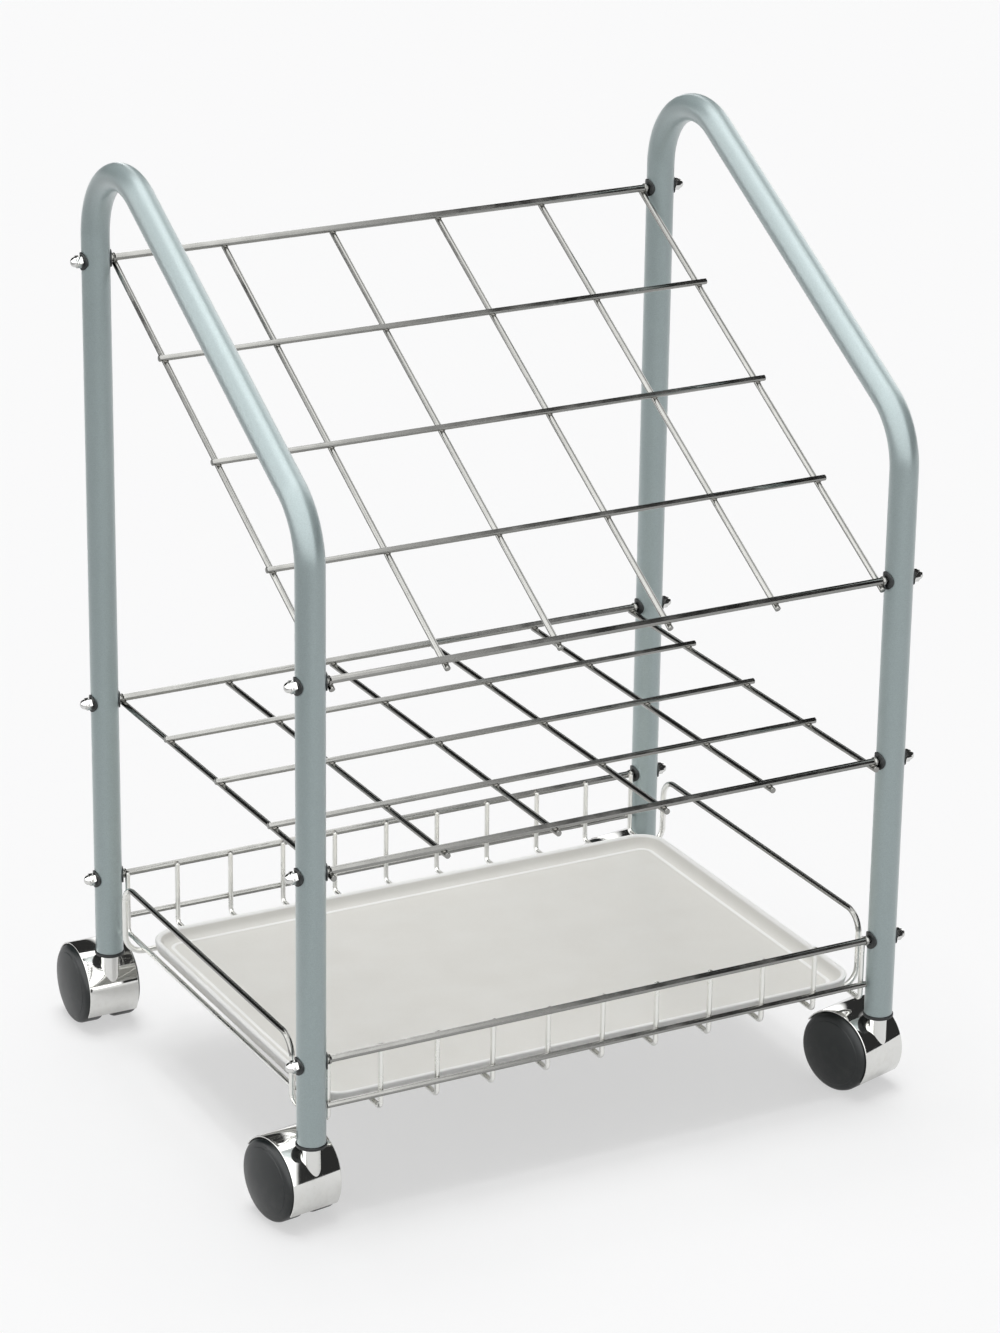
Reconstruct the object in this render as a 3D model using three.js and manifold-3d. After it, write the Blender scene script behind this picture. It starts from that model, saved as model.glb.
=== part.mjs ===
import * as THREE from 'three';
import { mergeVertices } from 'three/addons/utils/BufferGeometryUtils.js';
import Module from 'manifold-3d';

const wasm = await Module();
wasm.setup();

// Driving dimensions in millimetres. X runs to the right, Y to the back, Z up from the floor.

// Side frames, each one bent tube
const POST_SPAN_X = 420;
const POST_SPAN_Y = 318;
const TUBE_DIAMETER = 19;
const TUBE_WALL = 1.2;
const POST_FOOT_CLEARANCE = 4;
const SLOPE_MID_Z = 560;
const SLOPE_DEGREES = 29.7;
const BEND_RADIUS = 50;

// Levels of the rods that tie the frames
const UPPER_GRID_DROP = 101.692;
const MIDDLE_Z = 242;
const RIM_Z = 113.5;

// Wires
const ROD_DIAMETER = 4.8;
const WIRE_DIAMETER = 4.0;
const FLOOR_WIRE_DIAMETER = 3.4;
const WELD_SINK = 0.7;
const COLUMN_COUNT = 6;
const ROW_COUNT = 5;
const COLUMN_CLEARANCE = 0.5;
const WIRE_OVERHANG = 5;

// Basket
const LOWER_WIRE_RISE = 11.5;
const LOWER_WIRE_OVERHANG = 2.2;
const FLOOR_Z = 70;
const FLOOR_WIRE_COUNT = 11;
const FLOOR_WIRE_PITCH = 40;
const FLOOR_EDGE_INSET = 13;
const FLOOR_WIRE_BEND = 4;
const RAIL_RISE = 4.8;
const RAIL_LEG_INSET = 28;
const RAIL_BEND = 16;
const RAIL_FOOT_BEND = 10;
const RAIL_FOOT_GAP = 8;

// Tray
const TRAY_SIDE_INSET = 10;
const TRAY_FRONT_INSET = 11;
const TRAY_BACK_INSET = 31;
const TRAY_HEIGHT = 9.2;
const TRAY_DRAFT = 2;
const TRAY_LIP = 2.5;
const TRAY_FILLET = 4.5;
const TRAY_THICKNESS = 2;
const TRAY_CORNER = 20;

// Nuts, washers and collars on the rod ends
const NUT_FLANGE_DIAMETER = 12.4;
const NUT_FLATS = 7.4;
const NUT_BODY = 3.2;
const NUT_DOME = 3.5;
const NUT_DOME_STEP = 0.2;
const NUT_OVERLAP = 0.5;
const WASHER_DIAMETER = 12.6;
const WASHER_THICKNESS = 1.2;
const COLLAR_DIAMETER = 6.4;
const COLLAR_THICKNESS = 1.5;
const STUD_LENGTH = 3.4;

// Casters
const WHEEL_DIAMETER = 55;
const CASTER_HALF_WIDTH = 24.6;
const WHEEL_INNER_FACE = 5.8;
const WHEEL_DISH = 5;
const WHEEL_BEVEL = 0.8;
const WHEEL_EDGE_DROP = 0.9;
const WHEEL_CAP_THICKNESS = 3;
const AXLE_END_GAP = 0.5;
const CASTER_TRAIL = 21.5;
const HOOD_CLEARANCE = 0.7;
const HOOD_THICKNESS = 1.0;
const HOOD_HALF_WIDTH = 18.1;
const HOOD_FRONT_DEGREES = -34;
const HOOD_BACK_DEGREES = 147;
const HOOD_WEB_HALF = 5.2;
const AXLE_DIAMETER = 6;
const HUB_RADIUS = 7;
const STEM_DIAMETER = 8;
const STEM_REACH = 36;
const STEM_SEAT_HEIGHT = 9;
const BOSS_DIAMETER = 12.2;
const BOSS_GAP = 0.1;
const SOCKET_FLANGE_DIAMETER = 20.4;
const SOCKET_FLANGE_THICKNESS = 2.1;
const SOCKET_LENGTH = 37;

// Yaw of each caster in degrees, as it stands
const CASTER_YAW = { front_left: 8.5, front_right: 16.8, back_left: 0, back_right: 10 };

// Gap between pieces that touch, and smoothness
const GAP = 0.3;
const TUBE_SIDES = 16;
const WIRE_SIDES = 8;
const FLOOR_WIRE_SIDES = 6;
const NUT_SIDES = 12;
const WHEEL_SIDES = 24;
const TUBE_BORE_SIDES = 8;
const BEND_STEP_DEGREES = 15;

// Derived sizes
const POST_X = POST_SPAN_X / 2;
const POST_Y = POST_SPAN_Y / 2;
const TUBE_RADIUS = TUBE_DIAMETER / 2;
const ROD_RADIUS = ROD_DIAMETER / 2;
const WIRE_RADIUS = WIRE_DIAMETER / 2;
const FLOOR_WIRE_RADIUS = FLOOR_WIRE_DIAMETER / 2;
const WHEEL_RADIUS = WHEEL_DIAMETER / 2;
const HOOD_OUTER_RADIUS = WHEEL_RADIUS + HOOD_CLEARANCE + HOOD_THICKNESS;
const POST_FOOT_Z = WHEEL_DIAMETER + POST_FOOT_CLEARANCE;
const STEM_TOP_Z = POST_FOOT_Z + STEM_REACH;
const SLOPE = THREE.MathUtils.degToRad(SLOPE_DEGREES);
const UPPER_BACK_Z = SLOPE_MID_Z + POST_Y * Math.tan(SLOPE) - UPPER_GRID_DROP;
const UPPER_FRONT_Z = UPPER_BACK_Z - POST_SPAN_Y * Math.tan(SLOPE);
const ROD_LEVELS = {
  upper: { back: UPPER_BACK_Z, front: UPPER_FRONT_Z },
  middle: { back: MIDDLE_Z, front: MIDDLE_Z },
  basket: { back: RIM_Z, front: RIM_Z },
};
const SADDLE_RADIUS = TUBE_RADIUS + GAP + WASHER_THICKNESS;
const WASHER_INNER_X = POST_X - SADDLE_RADIUS;
const COLUMN_SPAN = 2 * (WASHER_INNER_X - COLUMN_CLEARANCE - WIRE_RADIUS);
const FLOOR_EDGE_X = POST_X - FLOOR_EDGE_INSET;
const LOWER_WIRE_Z = FLOOR_Z + LOWER_WIRE_RISE;
const RAIL_TOP_Z = RIM_Z + RAIL_RISE;
const RAIL_LEG_Y = POST_Y - RAIL_LEG_INSET;
const RAIL_FOOT_Z = FLOOR_Z - FLOOR_WIRE_RADIUS - WIRE_RADIUS + WELD_SINK;
const TRAY_LENGTH_X = POST_SPAN_X - 2 * TRAY_SIDE_INSET;
const TRAY_LENGTH_Y = POST_SPAN_Y - TRAY_FRONT_INSET - TRAY_BACK_INSET;
const TRAY_SHIFT_Y = (TRAY_FRONT_INSET - TRAY_BACK_INSET) / 2;
const SIDES = { left: -1, right: 1 };
const ENDS = { front: -1, back: 1 };

const vec = (x, y, z) => new THREE.Vector3(x, y, z);

// A wire or tube axis: straight runs joined by round bends, with stations only where they are needed
class BentAxis extends THREE.Curve {
  constructor(corners) {
    super();
    this.stations = [];
    corners.forEach((corner, index) => {
      const before = corners[index - 1];
      const after = corners[index + 1];
      if (!before || !after || !corner.bend) {
        this.addStation(corner.at, before ? corner.at.clone().sub(before.at) : after.at.clone().sub(corner.at));
        return;
      }
      this.addBend(corner, before.at, after.at);
    });
  }

  addStation(point, direction) {
    this.stations.push({ point: point.clone(), tangent: direction.clone().normalize() });
  }

  addBend(corner, before, after) {
    const arriving = corner.at.clone().sub(before).normalize();
    const leaving = after.clone().sub(corner.at).normalize();
    const turn = arriving.angleTo(leaving);
    const setback = corner.bend * Math.tan(turn / 2);
    const start = corner.at.clone().addScaledVector(arriving, -setback);
    const inward = leaving.clone().addScaledVector(arriving, -leaving.dot(arriving)).normalize();
    const centre = start.clone().addScaledVector(inward, corner.bend);
    const steps = Math.max(2, Math.round(THREE.MathUtils.radToDeg(turn) / (corner.step ?? BEND_STEP_DEGREES)));
    for (let i = 0; i <= steps; i += 1) {
      const angle = turn * i / steps;
      const point = centre.clone()
        .addScaledVector(inward, -corner.bend * Math.cos(angle))
        .addScaledVector(arriving, corner.bend * Math.sin(angle));
      const tangent = arriving.clone().multiplyScalar(Math.cos(angle)).addScaledVector(inward, Math.sin(angle));
      this.addStation(point, tangent);
    }
  }

  station(t) {
    return this.stations[Math.round(t * (this.stations.length - 1))];
  }

  getPoint(t, target = vec(0, 0, 0)) {
    return target.copy(this.station(t).point);
  }

  getPointAt(u, target) {
    return this.getPoint(u, target);
  }

  getTangent(t, target = vec(0, 0, 0)) {
    return target.copy(this.station(t).tangent);
  }

  getTangentAt(u, target) {
    return this.getTangent(u, target);
  }
}

// A regular outline with the same area as the circle it stands for
function roundOutline(radius, sides) {
  const sector = 2 * Math.PI / sides;
  const reach = radius * Math.sqrt(sector / Math.sin(sector));
  const points = [];
  for (let i = 0; i < sides; i += 1) {
    const angle = (i + 0.5) * sector;
    points.push(new THREE.Vector2(reach * Math.cos(angle), reach * Math.sin(angle)));
  }
  return points;
}

// Closed solids from geometry, and back
function toSolid(source) {
  const geometry = source.clone();
  geometry.deleteAttribute('normal');
  geometry.deleteAttribute('uv');
  const merged = mergeVertices(geometry, 1e-4);
  const position = merged.getAttribute('position');
  const corner = (i) => new THREE.Vector3().fromBufferAttribute(position, i);
  const triangles = [];
  let volume = 0;
  for (let i = 0; i < merged.index.count; i += 3) {
    const [a, b, c] = [0, 1, 2].map((k) => merged.index.getX(i + k));
    if (a !== b && b !== c && c !== a) {
      triangles.push(a, b, c);
      volume += corner(a).dot(corner(b).cross(corner(c)));
    }
  }
  const triVerts = new Uint32Array(volume < 0 ? triangles.reverse() : triangles);
  const vertProperties = new Float32Array(position.array);
  return new wasm.Manifold(new wasm.Mesh({ numProp: 3, vertProperties, triVerts }));
}

function toGeometry(solid) {
  const mesh = solid.getMesh();
  const geometry = new THREE.BufferGeometry();
  geometry.setAttribute('position', new THREE.BufferAttribute(new Float32Array(mesh.vertProperties), 3));
  geometry.setIndex(Array.from(mesh.triVerts));
  geometry.computeVertexNormals();
  return geometry;
}

const joined = (solids) => solids.reduce((sum, solid) => sum.add(solid));

// A round bar or tube along corners, each given as { at, bend }
function bar(corners, radius, sides, boreRadius = 0) {
  const outline = new THREE.Shape(roundOutline(radius, sides));
  if (boreRadius > 0) {
    outline.holes.push(new THREE.Path(roundOutline(boreRadius, TUBE_BORE_SIDES)));
  }
  const axis = new BentAxis(corners);
  const options = { steps: axis.stations.length - 1, extrudePath: axis, bevelEnabled: false };
  return toSolid(new THREE.ExtrudeGeometry(outline, options));
}

const straight = (from, to, radius, sides) => bar([{ at: from }, { at: to }], radius, sides);

// A turned piece: profile as [radius, height] about the Z axis
function turned(profile, sides, turn = 0) {
  const points = profile.map(([radius, height]) => new THREE.Vector2(radius, height));
  const geometry = new THREE.LatheGeometry(points, sides, turn);
  geometry.rotateX(Math.PI / 2);
  return toSolid(geometry);
}

// Side frame: back post, top bend, slope, front bend, front post, drilled across for the rod ends
function sideFrame(side) {
  const x = side * POST_X;
  const backCorner = SLOPE_MID_Z + POST_Y * Math.tan(SLOPE);
  const frontCorner = SLOPE_MID_Z - POST_Y * Math.tan(SLOPE);
  const corners = [
    { at: vec(x, POST_Y, POST_FOOT_Z) },
    { at: vec(x, POST_Y, backCorner), bend: BEND_RADIUS },
    { at: vec(x, -POST_Y, frontCorner), bend: BEND_RADIUS },
    { at: vec(x, -POST_Y, POST_FOOT_Z) },
  ];
  let frame = bar(corners, TUBE_RADIUS, TUBE_SIDES, TUBE_RADIUS - TUBE_WALL);
  for (const level of Object.values(ROD_LEVELS)) {
    for (const [end, sign] of Object.entries(ENDS)) {
      const drill = straight(
        vec(x - TUBE_DIAMETER, sign * POST_Y, level[end]),
        vec(x + TUBE_DIAMETER, sign * POST_Y, level[end]),
        ROD_RADIUS + 2 * GAP,
        WIRE_SIDES,
      );
      frame = frame.subtract(drill);
    }
  }
  return frame;
}

// A rod from side frame to side frame, with a stop collar inside each post
function tieRod(y, z) {
  const reach = POST_X + TUBE_RADIUS + STUD_LENGTH;
  const collarOuter = POST_X - SADDLE_RADIUS - 2 * GAP;
  const pieces = [straight(vec(-reach, y, z), vec(reach, y, z), ROD_RADIUS, WIRE_SIDES)];
  for (const side of Object.values(SIDES)) {
    const outer = vec(side * collarOuter, y, z);
    const inner = vec(side * (collarOuter - COLLAR_THICKNESS), y, z);
    pieces.push(straight(inner, outer, COLLAR_DIAMETER / 2, WIRE_SIDES));
  }
  return pieces;
}

// A welded grid of tie rods and cross wires lying on the column wires
function grid(level) {
  const rise = (level.back - level.front) / POST_SPAN_Y;
  const lean = Math.atan(rise);
  const middle = (level.back + level.front) / 2;
  const onPlane = (x, y, drop) => vec(x, y + drop * Math.sin(lean), middle + y * rise - drop * Math.cos(lean));
  const columnDrop = ROD_RADIUS + WIRE_RADIUS - WELD_SINK;
  const crossDrop = columnDrop - (2 * WIRE_RADIUS - WELD_SINK);
  const pieces = [];
  for (const sign of Object.values(ENDS)) {
    pieces.push(...tieRod(sign * POST_Y, middle + sign * POST_Y * rise));
  }
  const crossReach = COLUMN_SPAN / 2 + WIRE_OVERHANG;
  for (let row = 1; row < ROW_COUNT - 1; row += 1) {
    const y = -POST_Y + POST_SPAN_Y * row / (ROW_COUNT - 1);
    pieces.push(straight(onPlane(-crossReach, y, crossDrop), onPlane(crossReach, y, crossDrop), WIRE_RADIUS, WIRE_SIDES));
  }
  const forward = POST_Y + WIRE_OVERHANG * Math.cos(lean);
  const backward = POST_Y + 0.6 * WIRE_OVERHANG * Math.cos(lean);
  for (let column = 0; column < COLUMN_COUNT; column += 1) {
    const x = -COLUMN_SPAN / 2 + COLUMN_SPAN * column / (COLUMN_COUNT - 1);
    pieces.push(straight(onPlane(x, -forward, columnDrop), onPlane(x, backward, columnDrop), WIRE_RADIUS, WIRE_SIDES));
  }
  return joined(pieces);
}

// Basket: rim rods, lower wires, side rails whose feet run under the floor, and floor wires
function basket() {
  const pieces = [];
  const uprightY = POST_Y - ROD_RADIUS - FLOOR_WIRE_RADIUS + 1.4 * WELD_SINK;
  const lowerY = uprightY + FLOOR_WIRE_RADIUS + WIRE_RADIUS - WELD_SINK;
  const lowerX = FLOOR_EDGE_X + LOWER_WIRE_OVERHANG;
  for (const sign of Object.values(ENDS)) {
    pieces.push(...tieRod(sign * POST_Y, RIM_Z));
    const lowerEnds = [vec(-lowerX, sign * lowerY, LOWER_WIRE_Z), vec(lowerX, sign * lowerY, LOWER_WIRE_Z)];
    pieces.push(straight(...lowerEnds, WIRE_RADIUS, WIRE_SIDES));
  }
  for (const side of Object.values(SIDES)) {
    const x = side * POST_X;
    const footX = side * RAIL_FOOT_GAP / 2;
    pieces.push(bar([
      { at: vec(footX, -RAIL_LEG_Y, RAIL_FOOT_Z) },
      { at: vec(x, -RAIL_LEG_Y, RAIL_FOOT_Z), bend: RAIL_FOOT_BEND, step: 30 },
      { at: vec(x, -RAIL_LEG_Y, RAIL_TOP_Z), bend: RAIL_BEND, step: 18 },
      { at: vec(x, RAIL_LEG_Y, RAIL_TOP_Z), bend: RAIL_BEND, step: 18 },
      { at: vec(x, RAIL_LEG_Y, RAIL_FOOT_Z), bend: RAIL_FOOT_BEND, step: 30 },
      { at: vec(footX, RAIL_LEG_Y, RAIL_FOOT_Z) },
    ], WIRE_RADIUS, WIRE_SIDES));
  }
  const uprightTop = RIM_Z + 0.6 * ROD_RADIUS;
  for (let i = 0; i < FLOOR_WIRE_COUNT; i += 1) {
    const even = FLOOR_WIRE_PITCH * (i - (FLOOR_WIRE_COUNT - 1) / 2);
    const x = THREE.MathUtils.clamp(even, -FLOOR_EDGE_X, FLOOR_EDGE_X);
    pieces.push(bar([
      { at: vec(x, -uprightY, uprightTop) },
      { at: vec(x, -uprightY, FLOOR_Z), bend: FLOOR_WIRE_BEND, step: 45 },
      { at: vec(x, uprightY, FLOOR_Z), bend: FLOOR_WIRE_BEND, step: 45 },
      { at: vec(x, uprightY, uprightTop) },
    ], FLOOR_WIRE_RADIUS, FLOOR_WIRE_SIDES));
  }
  return joined(pieces);
}

// A rounded rectangle, drafted outwards from its small end at z = low to z = high
function draftedBlock(lengthX, lengthY, corner, draft, low, high) {
  const halfX = lengthX / 2 - draft;
  const halfY = lengthY / 2 - draft;
  const radius = Math.max(1, corner - draft);
  const outline = new THREE.Shape();
  outline.absarc(halfX - radius, halfY - radius, radius, 0, Math.PI / 2);
  outline.absarc(-halfX + radius, halfY - radius, radius, Math.PI / 2, Math.PI);
  outline.absarc(-halfX + radius, -halfY + radius, radius, Math.PI, 1.5 * Math.PI);
  outline.absarc(halfX - radius, -halfY + radius, radius, 1.5 * Math.PI, 2 * Math.PI);
  const height = high - low;
  const geometry = new THREE.ExtrudeGeometry(outline, {
    depth: height,
    curveSegments: 5,
    bevelEnabled: true,
    bevelThickness: height,
    bevelSize: draft,
    bevelSegments: 1,
  });
  geometry.translate(0, TRAY_SHIFT_Y, high);
  const half = new THREE.BoxGeometry(2 * lengthX, 2 * lengthY, height);
  half.translate(0, TRAY_SHIFT_Y, (low + high) / 2);
  return toSolid(geometry).intersect(toSolid(half));
}

// Tray: drafted walls, a narrow lip and a flat floor, loose on the floor wires
function tray() {
  const low = FLOOR_Z + FLOOR_WIRE_RADIUS + 2 * GAP;
  const high = low + TRAY_HEIGHT;
  const lipX = TRAY_LENGTH_X - 2 * TRAY_LIP;
  const lipY = TRAY_LENGTH_Y - 2 * TRAY_LIP;
  const body = draftedBlock(TRAY_LENGTH_X, TRAY_LENGTH_Y, TRAY_CORNER, TRAY_DRAFT, low, high);
  const inner = TRAY_CORNER - TRAY_LIP;
  const slant = TRAY_DRAFT + TRAY_FILLET;
  const hollow = draftedBlock(lipX, lipY, inner, slant, low + TRAY_THICKNESS, high + 0.01);
  return body.subtract(hollow);
}

// A washer curved to the tube, built along Z from the post's axis, with the post lying along X
function saddle(diameter) {
  const along = (radius) => straight(vec(-diameter, 0, 0), vec(diameter, 0, 0), radius, TUBE_SIDES);
  const shell = along(SADDLE_RADIUS).subtract(along(TUBE_RADIUS + GAP));
  const outline = straight(vec(0, 0, 0), vec(0, 0, 2 * SADDLE_RADIUS), diameter / 2, NUT_SIDES);
  return outline.intersect(shell);
}

// The hole for a rod, from the post's axis outwards
function rodHole(length) {
  return straight(vec(0, 0, 0), vec(0, 0, length), ROD_RADIUS + 2 * GAP, WIRE_SIDES);
}

// Cap nut on a curved flange, built along Z from the post's axis
function capNut() {
  const flange = saddle(NUT_FLANGE_DIAMETER);
  const bodyLow = SADDLE_RADIUS - NUT_OVERLAP;
  const bodyTop = SADDLE_RADIUS + NUT_BODY;
  const hexRadius = NUT_FLATS / Math.sqrt(3);
  const hex = turned([[0, bodyLow], [hexRadius, bodyLow], [hexRadius, bodyTop], [0, bodyTop]], 6);
  const domeRadius = NUT_FLATS / 2 - NUT_DOME_STEP;
  const dome = turned([
    [0, bodyTop - NUT_OVERLAP],
    [domeRadius, bodyTop - NUT_OVERLAP],
    [domeRadius, bodyTop],
    [0.72 * domeRadius, bodyTop + 0.7 * NUT_DOME],
    [0, bodyTop + NUT_DOME],
  ], NUT_SIDES);
  return flange.add(hex).add(dome).subtract(rodHole(TUBE_RADIUS + STUD_LENGTH + GAP));
}

// Put a piece built along Z on a post, pointing along X to the given side
function onPost(solid, pointing, x, y, z) {
  return solid.rotate([0, pointing * 90, 0]).translate([x, y, z]);
}

// Caster pieces, with the stem axis on Z and the axle behind it
const AXLE_HEIGHT = WHEEL_RADIUS;

function alongAxle(solid) {
  return solid.rotate([0, 90, 0]).translate([0, CASTER_TRAIL, AXLE_HEIGHT]);
}

function socket() {
  const bore = STEM_DIAMETER / 2 + 2 * GAP;
  const plug = TUBE_RADIUS - TUBE_WALL - 2 * GAP;
  const flange = SOCKET_FLANGE_DIAMETER / 2;
  const flangeTop = POST_FOOT_Z - GAP;
  const flangeLow = flangeTop - SOCKET_FLANGE_THICKNESS;
  const top = POST_FOOT_Z + SOCKET_LENGTH;
  return turned([
    [bore, flangeLow],
    [flange, flangeLow],
    [flange, flangeTop],
    [plug, flangeTop],
    [plug, top],
    [bore, top],
    [bore, flangeLow],
  ], NUT_SIDES);
}

const BOSS_TOP = POST_FOOT_Z - 2 * GAP - SOCKET_FLANGE_THICKNESS - BOSS_GAP;
const STEM_FOOT = AXLE_HEIGHT + STEM_SEAT_HEIGHT;

function stem() {
  return straight(vec(0, 0, STEM_FOOT), vec(0, 0, STEM_TOP_Z), STEM_DIAMETER / 2, NUT_SIDES);
}

function axle() {
  const half = CASTER_HALF_WIDTH - WHEEL_DISH - WHEEL_CAP_THICKNESS - AXLE_END_GAP;
  const pin = straight(vec(-half, 0, 0), vec(half, 0, 0), AXLE_DIAMETER / 2, NUT_SIDES);
  return pin.translate([0, CASTER_TRAIL, AXLE_HEIGHT]);
}

// A wheel's profile keeps its flats on the wheel radius, so one flat lies on the floor
function wheel(side) {
  const reach = WHEEL_RADIUS / Math.cos(Math.PI / WHEEL_SIDES);
  const bore = AXLE_DIAMETER / 2 + 2 * GAP;
  const rim = CASTER_HALF_WIDTH - WHEEL_DISH;
  const solid = turned([
    [0, CASTER_HALF_WIDTH],
    [0.5 * reach, CASTER_HALF_WIDTH - 0.25 * WHEEL_DISH],
    [0.8 * reach, CASTER_HALF_WIDTH - 0.64 * WHEEL_DISH],
    [reach - WHEEL_BEVEL, rim],
    [reach, rim - WHEEL_EDGE_DROP],
    [reach, WHEEL_INNER_FACE],
    [bore, WHEEL_INNER_FACE],
    [bore, rim - WHEEL_CAP_THICKNESS],
    [0, rim - WHEEL_CAP_THICKNESS],
  ], WHEEL_SIDES, Math.PI / WHEEL_SIDES);
  return alongAxle(side > 0 ? solid : solid.rotate([0, 180, 0]));
}

// Points of an arc about the axle, angles measured from the front upwards, in the plane of travel
function hoodArc(radius, fromDegrees, toDegrees, steps) {
  const points = [];
  for (let i = 0; i <= steps; i += 1) {
    const angle = THREE.MathUtils.degToRad(fromDegrees + (toDegrees - fromDegrees) * i / steps);
    points.push(new THREE.Vector2(-radius * Math.cos(angle), radius * Math.sin(angle)));
  }
  return points;
}

// A plate in the plane of travel, thickened both ways along the axle
function acrossAxle(points, halfWidth) {
  const plate = new THREE.ExtrudeGeometry(new THREE.Shape(points), { depth: 2 * halfWidth, bevelEnabled: false });
  plate.translate(0, 0, -halfWidth);
  const place = new THREE.Matrix4().makeBasis(vec(0, 1, 0), vec(0, 0, 1), vec(1, 0, 0));
  place.setPosition(0, CASTER_TRAIL, AXLE_HEIGHT);
  plate.applyMatrix4(place);
  return toSolid(plate);
}

function hood() {
  const innerRadius = HOOD_OUTER_RADIUS - HOOD_THICKNESS;
  const steps = 18;
  const outerArc = hoodArc(HOOD_OUTER_RADIUS, HOOD_FRONT_DEGREES, HOOD_BACK_DEGREES, steps);
  const innerArc = hoodArc(innerRadius, HOOD_BACK_DEGREES, HOOD_FRONT_DEGREES, steps);
  const shell = acrossAxle([...outerArc, ...innerArc], HOOD_HALF_WIDTH);
  const webArc = hoodArc(innerRadius + 0.4 * HOOD_THICKNESS, HOOD_FRONT_DEGREES, HOOD_BACK_DEGREES, steps);
  const hubArc = hoodArc(HUB_RADIUS, HOOD_BACK_DEGREES + 40, HOOD_FRONT_DEGREES + 320, 6);
  const web = acrossAxle([...webArc, ...hubArc], HOOD_WEB_HALF);
  const boss = straight(vec(0, 0, AXLE_HEIGHT), vec(0, 0, BOSS_TOP), BOSS_DIAMETER / 2, NUT_SIDES + 4);
  const clearance = acrossAxle(hoodArc(innerRadius, 0, 360 - 360 / 30, 29), CASTER_HALF_WIDTH);
  const stemBore = straight(
    vec(0, 0, STEM_FOOT - GAP),
    vec(0, 0, BOSS_TOP + 1),
    STEM_DIAMETER / 2 + 1.5 * GAP,
    NUT_SIDES,
  );
  const pinBore = straight(
    vec(-CASTER_HALF_WIDTH, CASTER_TRAIL, AXLE_HEIGHT),
    vec(CASTER_HALF_WIDTH, CASTER_TRAIL, AXLE_HEIGHT),
    AXLE_DIAMETER / 2 + 1.5 * GAP,
    NUT_SIDES,
  );
  return shell.add(boss.subtract(clearance)).add(web).subtract(stemBore).subtract(pinBore);
}

// Materials, one for each piece
const FINISHES = {
  frame: { color: 0x8c9898, metalness: 0.6, roughness: 0.45 },
  wire: { color: 0xc8ccd0, metalness: 1.0, roughness: 0.18 },
  hardware: { color: 0xb4b8bc, metalness: 1.0, roughness: 0.25 },
  tray: { color: 0xd6d4cc, metalness: 0.0, roughness: 0.55 },
  wheel: { color: 0x24282a, metalness: 0.0, roughness: 0.45 },
  socket: { color: 0x2e3234, metalness: 0.0, roughness: 0.6 },
};

const cart = new THREE.Group();
cart.name = 'mobile_file_cart';

function addPiece(name, solid, finish) {
  const mesh = new THREE.Mesh(toGeometry(solid), new THREE.MeshStandardMaterial(FINISHES[finish]));
  mesh.name = name;
  cart.add(mesh);
}

for (const [name, side] of Object.entries(SIDES)) {
  addPiece(`${name}_side_frame`, sideFrame(side), 'frame');
}
addPiece('upper_grid', grid(ROD_LEVELS.upper), 'wire');
addPiece('middle_grid', grid(ROD_LEVELS.middle), 'wire');
addPiece('basket', basket(), 'wire');
addPiece('tray', tray(), 'tray');

const washer = saddle(WASHER_DIAMETER).subtract(rodHole(2 * SADDLE_RADIUS));
for (const [levelName, level] of Object.entries(ROD_LEVELS)) {
  for (const [end, sign] of Object.entries(ENDS)) {
    for (const [sideName, side] of Object.entries(SIDES)) {
      const corner = `${levelName}_${end}_${sideName}`;
      const rod = [side * POST_X, sign * POST_Y, level[end]];
      addPiece(`cap_nut_${corner}`, onPost(capNut(), side, ...rod), 'hardware');
      addPiece(`washer_${corner}`, onPost(washer, -side, ...rod), 'hardware');
    }
  }
}

for (const [end, sign] of Object.entries(ENDS)) {
  for (const [sideName, side] of Object.entries(SIDES)) {
    const corner = `${end}_${sideName}`;
    const post = [side * POST_X, sign * POST_Y, 0];
    const placed = (solid) => solid.rotate([0, 0, CASTER_YAW[corner]]).translate(post);
    addPiece(`caster_socket_${corner}`, socket().translate(post), 'socket');
    addPiece(`caster_stem_${corner}`, placed(stem()), 'hardware');
    addPiece(`caster_hood_${corner}`, placed(hood()), 'wire');
    addPiece(`caster_axle_${corner}`, placed(axle()), 'hardware');
    addPiece(`wheel_outer_${corner}`, placed(wheel(side)), 'wheel');
    addPiece(`wheel_inner_${corner}`, placed(wheel(-side)), 'wheel');
  }
}

// The origin is on the floor, under the middle of the whole cart
cart.updateMatrixWorld(true);
const middle = new THREE.Box3().setFromObject(cart, true).getCenter(vec(0, 0, 0));
for (const mesh of cart.children) {
  mesh.geometry.translate(-middle.x, -middle.y, 0);
}

export default cart;
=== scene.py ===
# %% [markdown]
# A roll file on casters. Two bent tubes carry a slanted wire grid, a flat wire grid and a wire basket with
# a shallow tray, so that rolled drawings stand upright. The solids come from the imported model: they say
# where every piece is and how it moves. Here each solid gets a finer piece in its place, with its real
# finish.

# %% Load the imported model
import math

import bmesh
import bpy
from mathutils import Matrix, Vector


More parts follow.
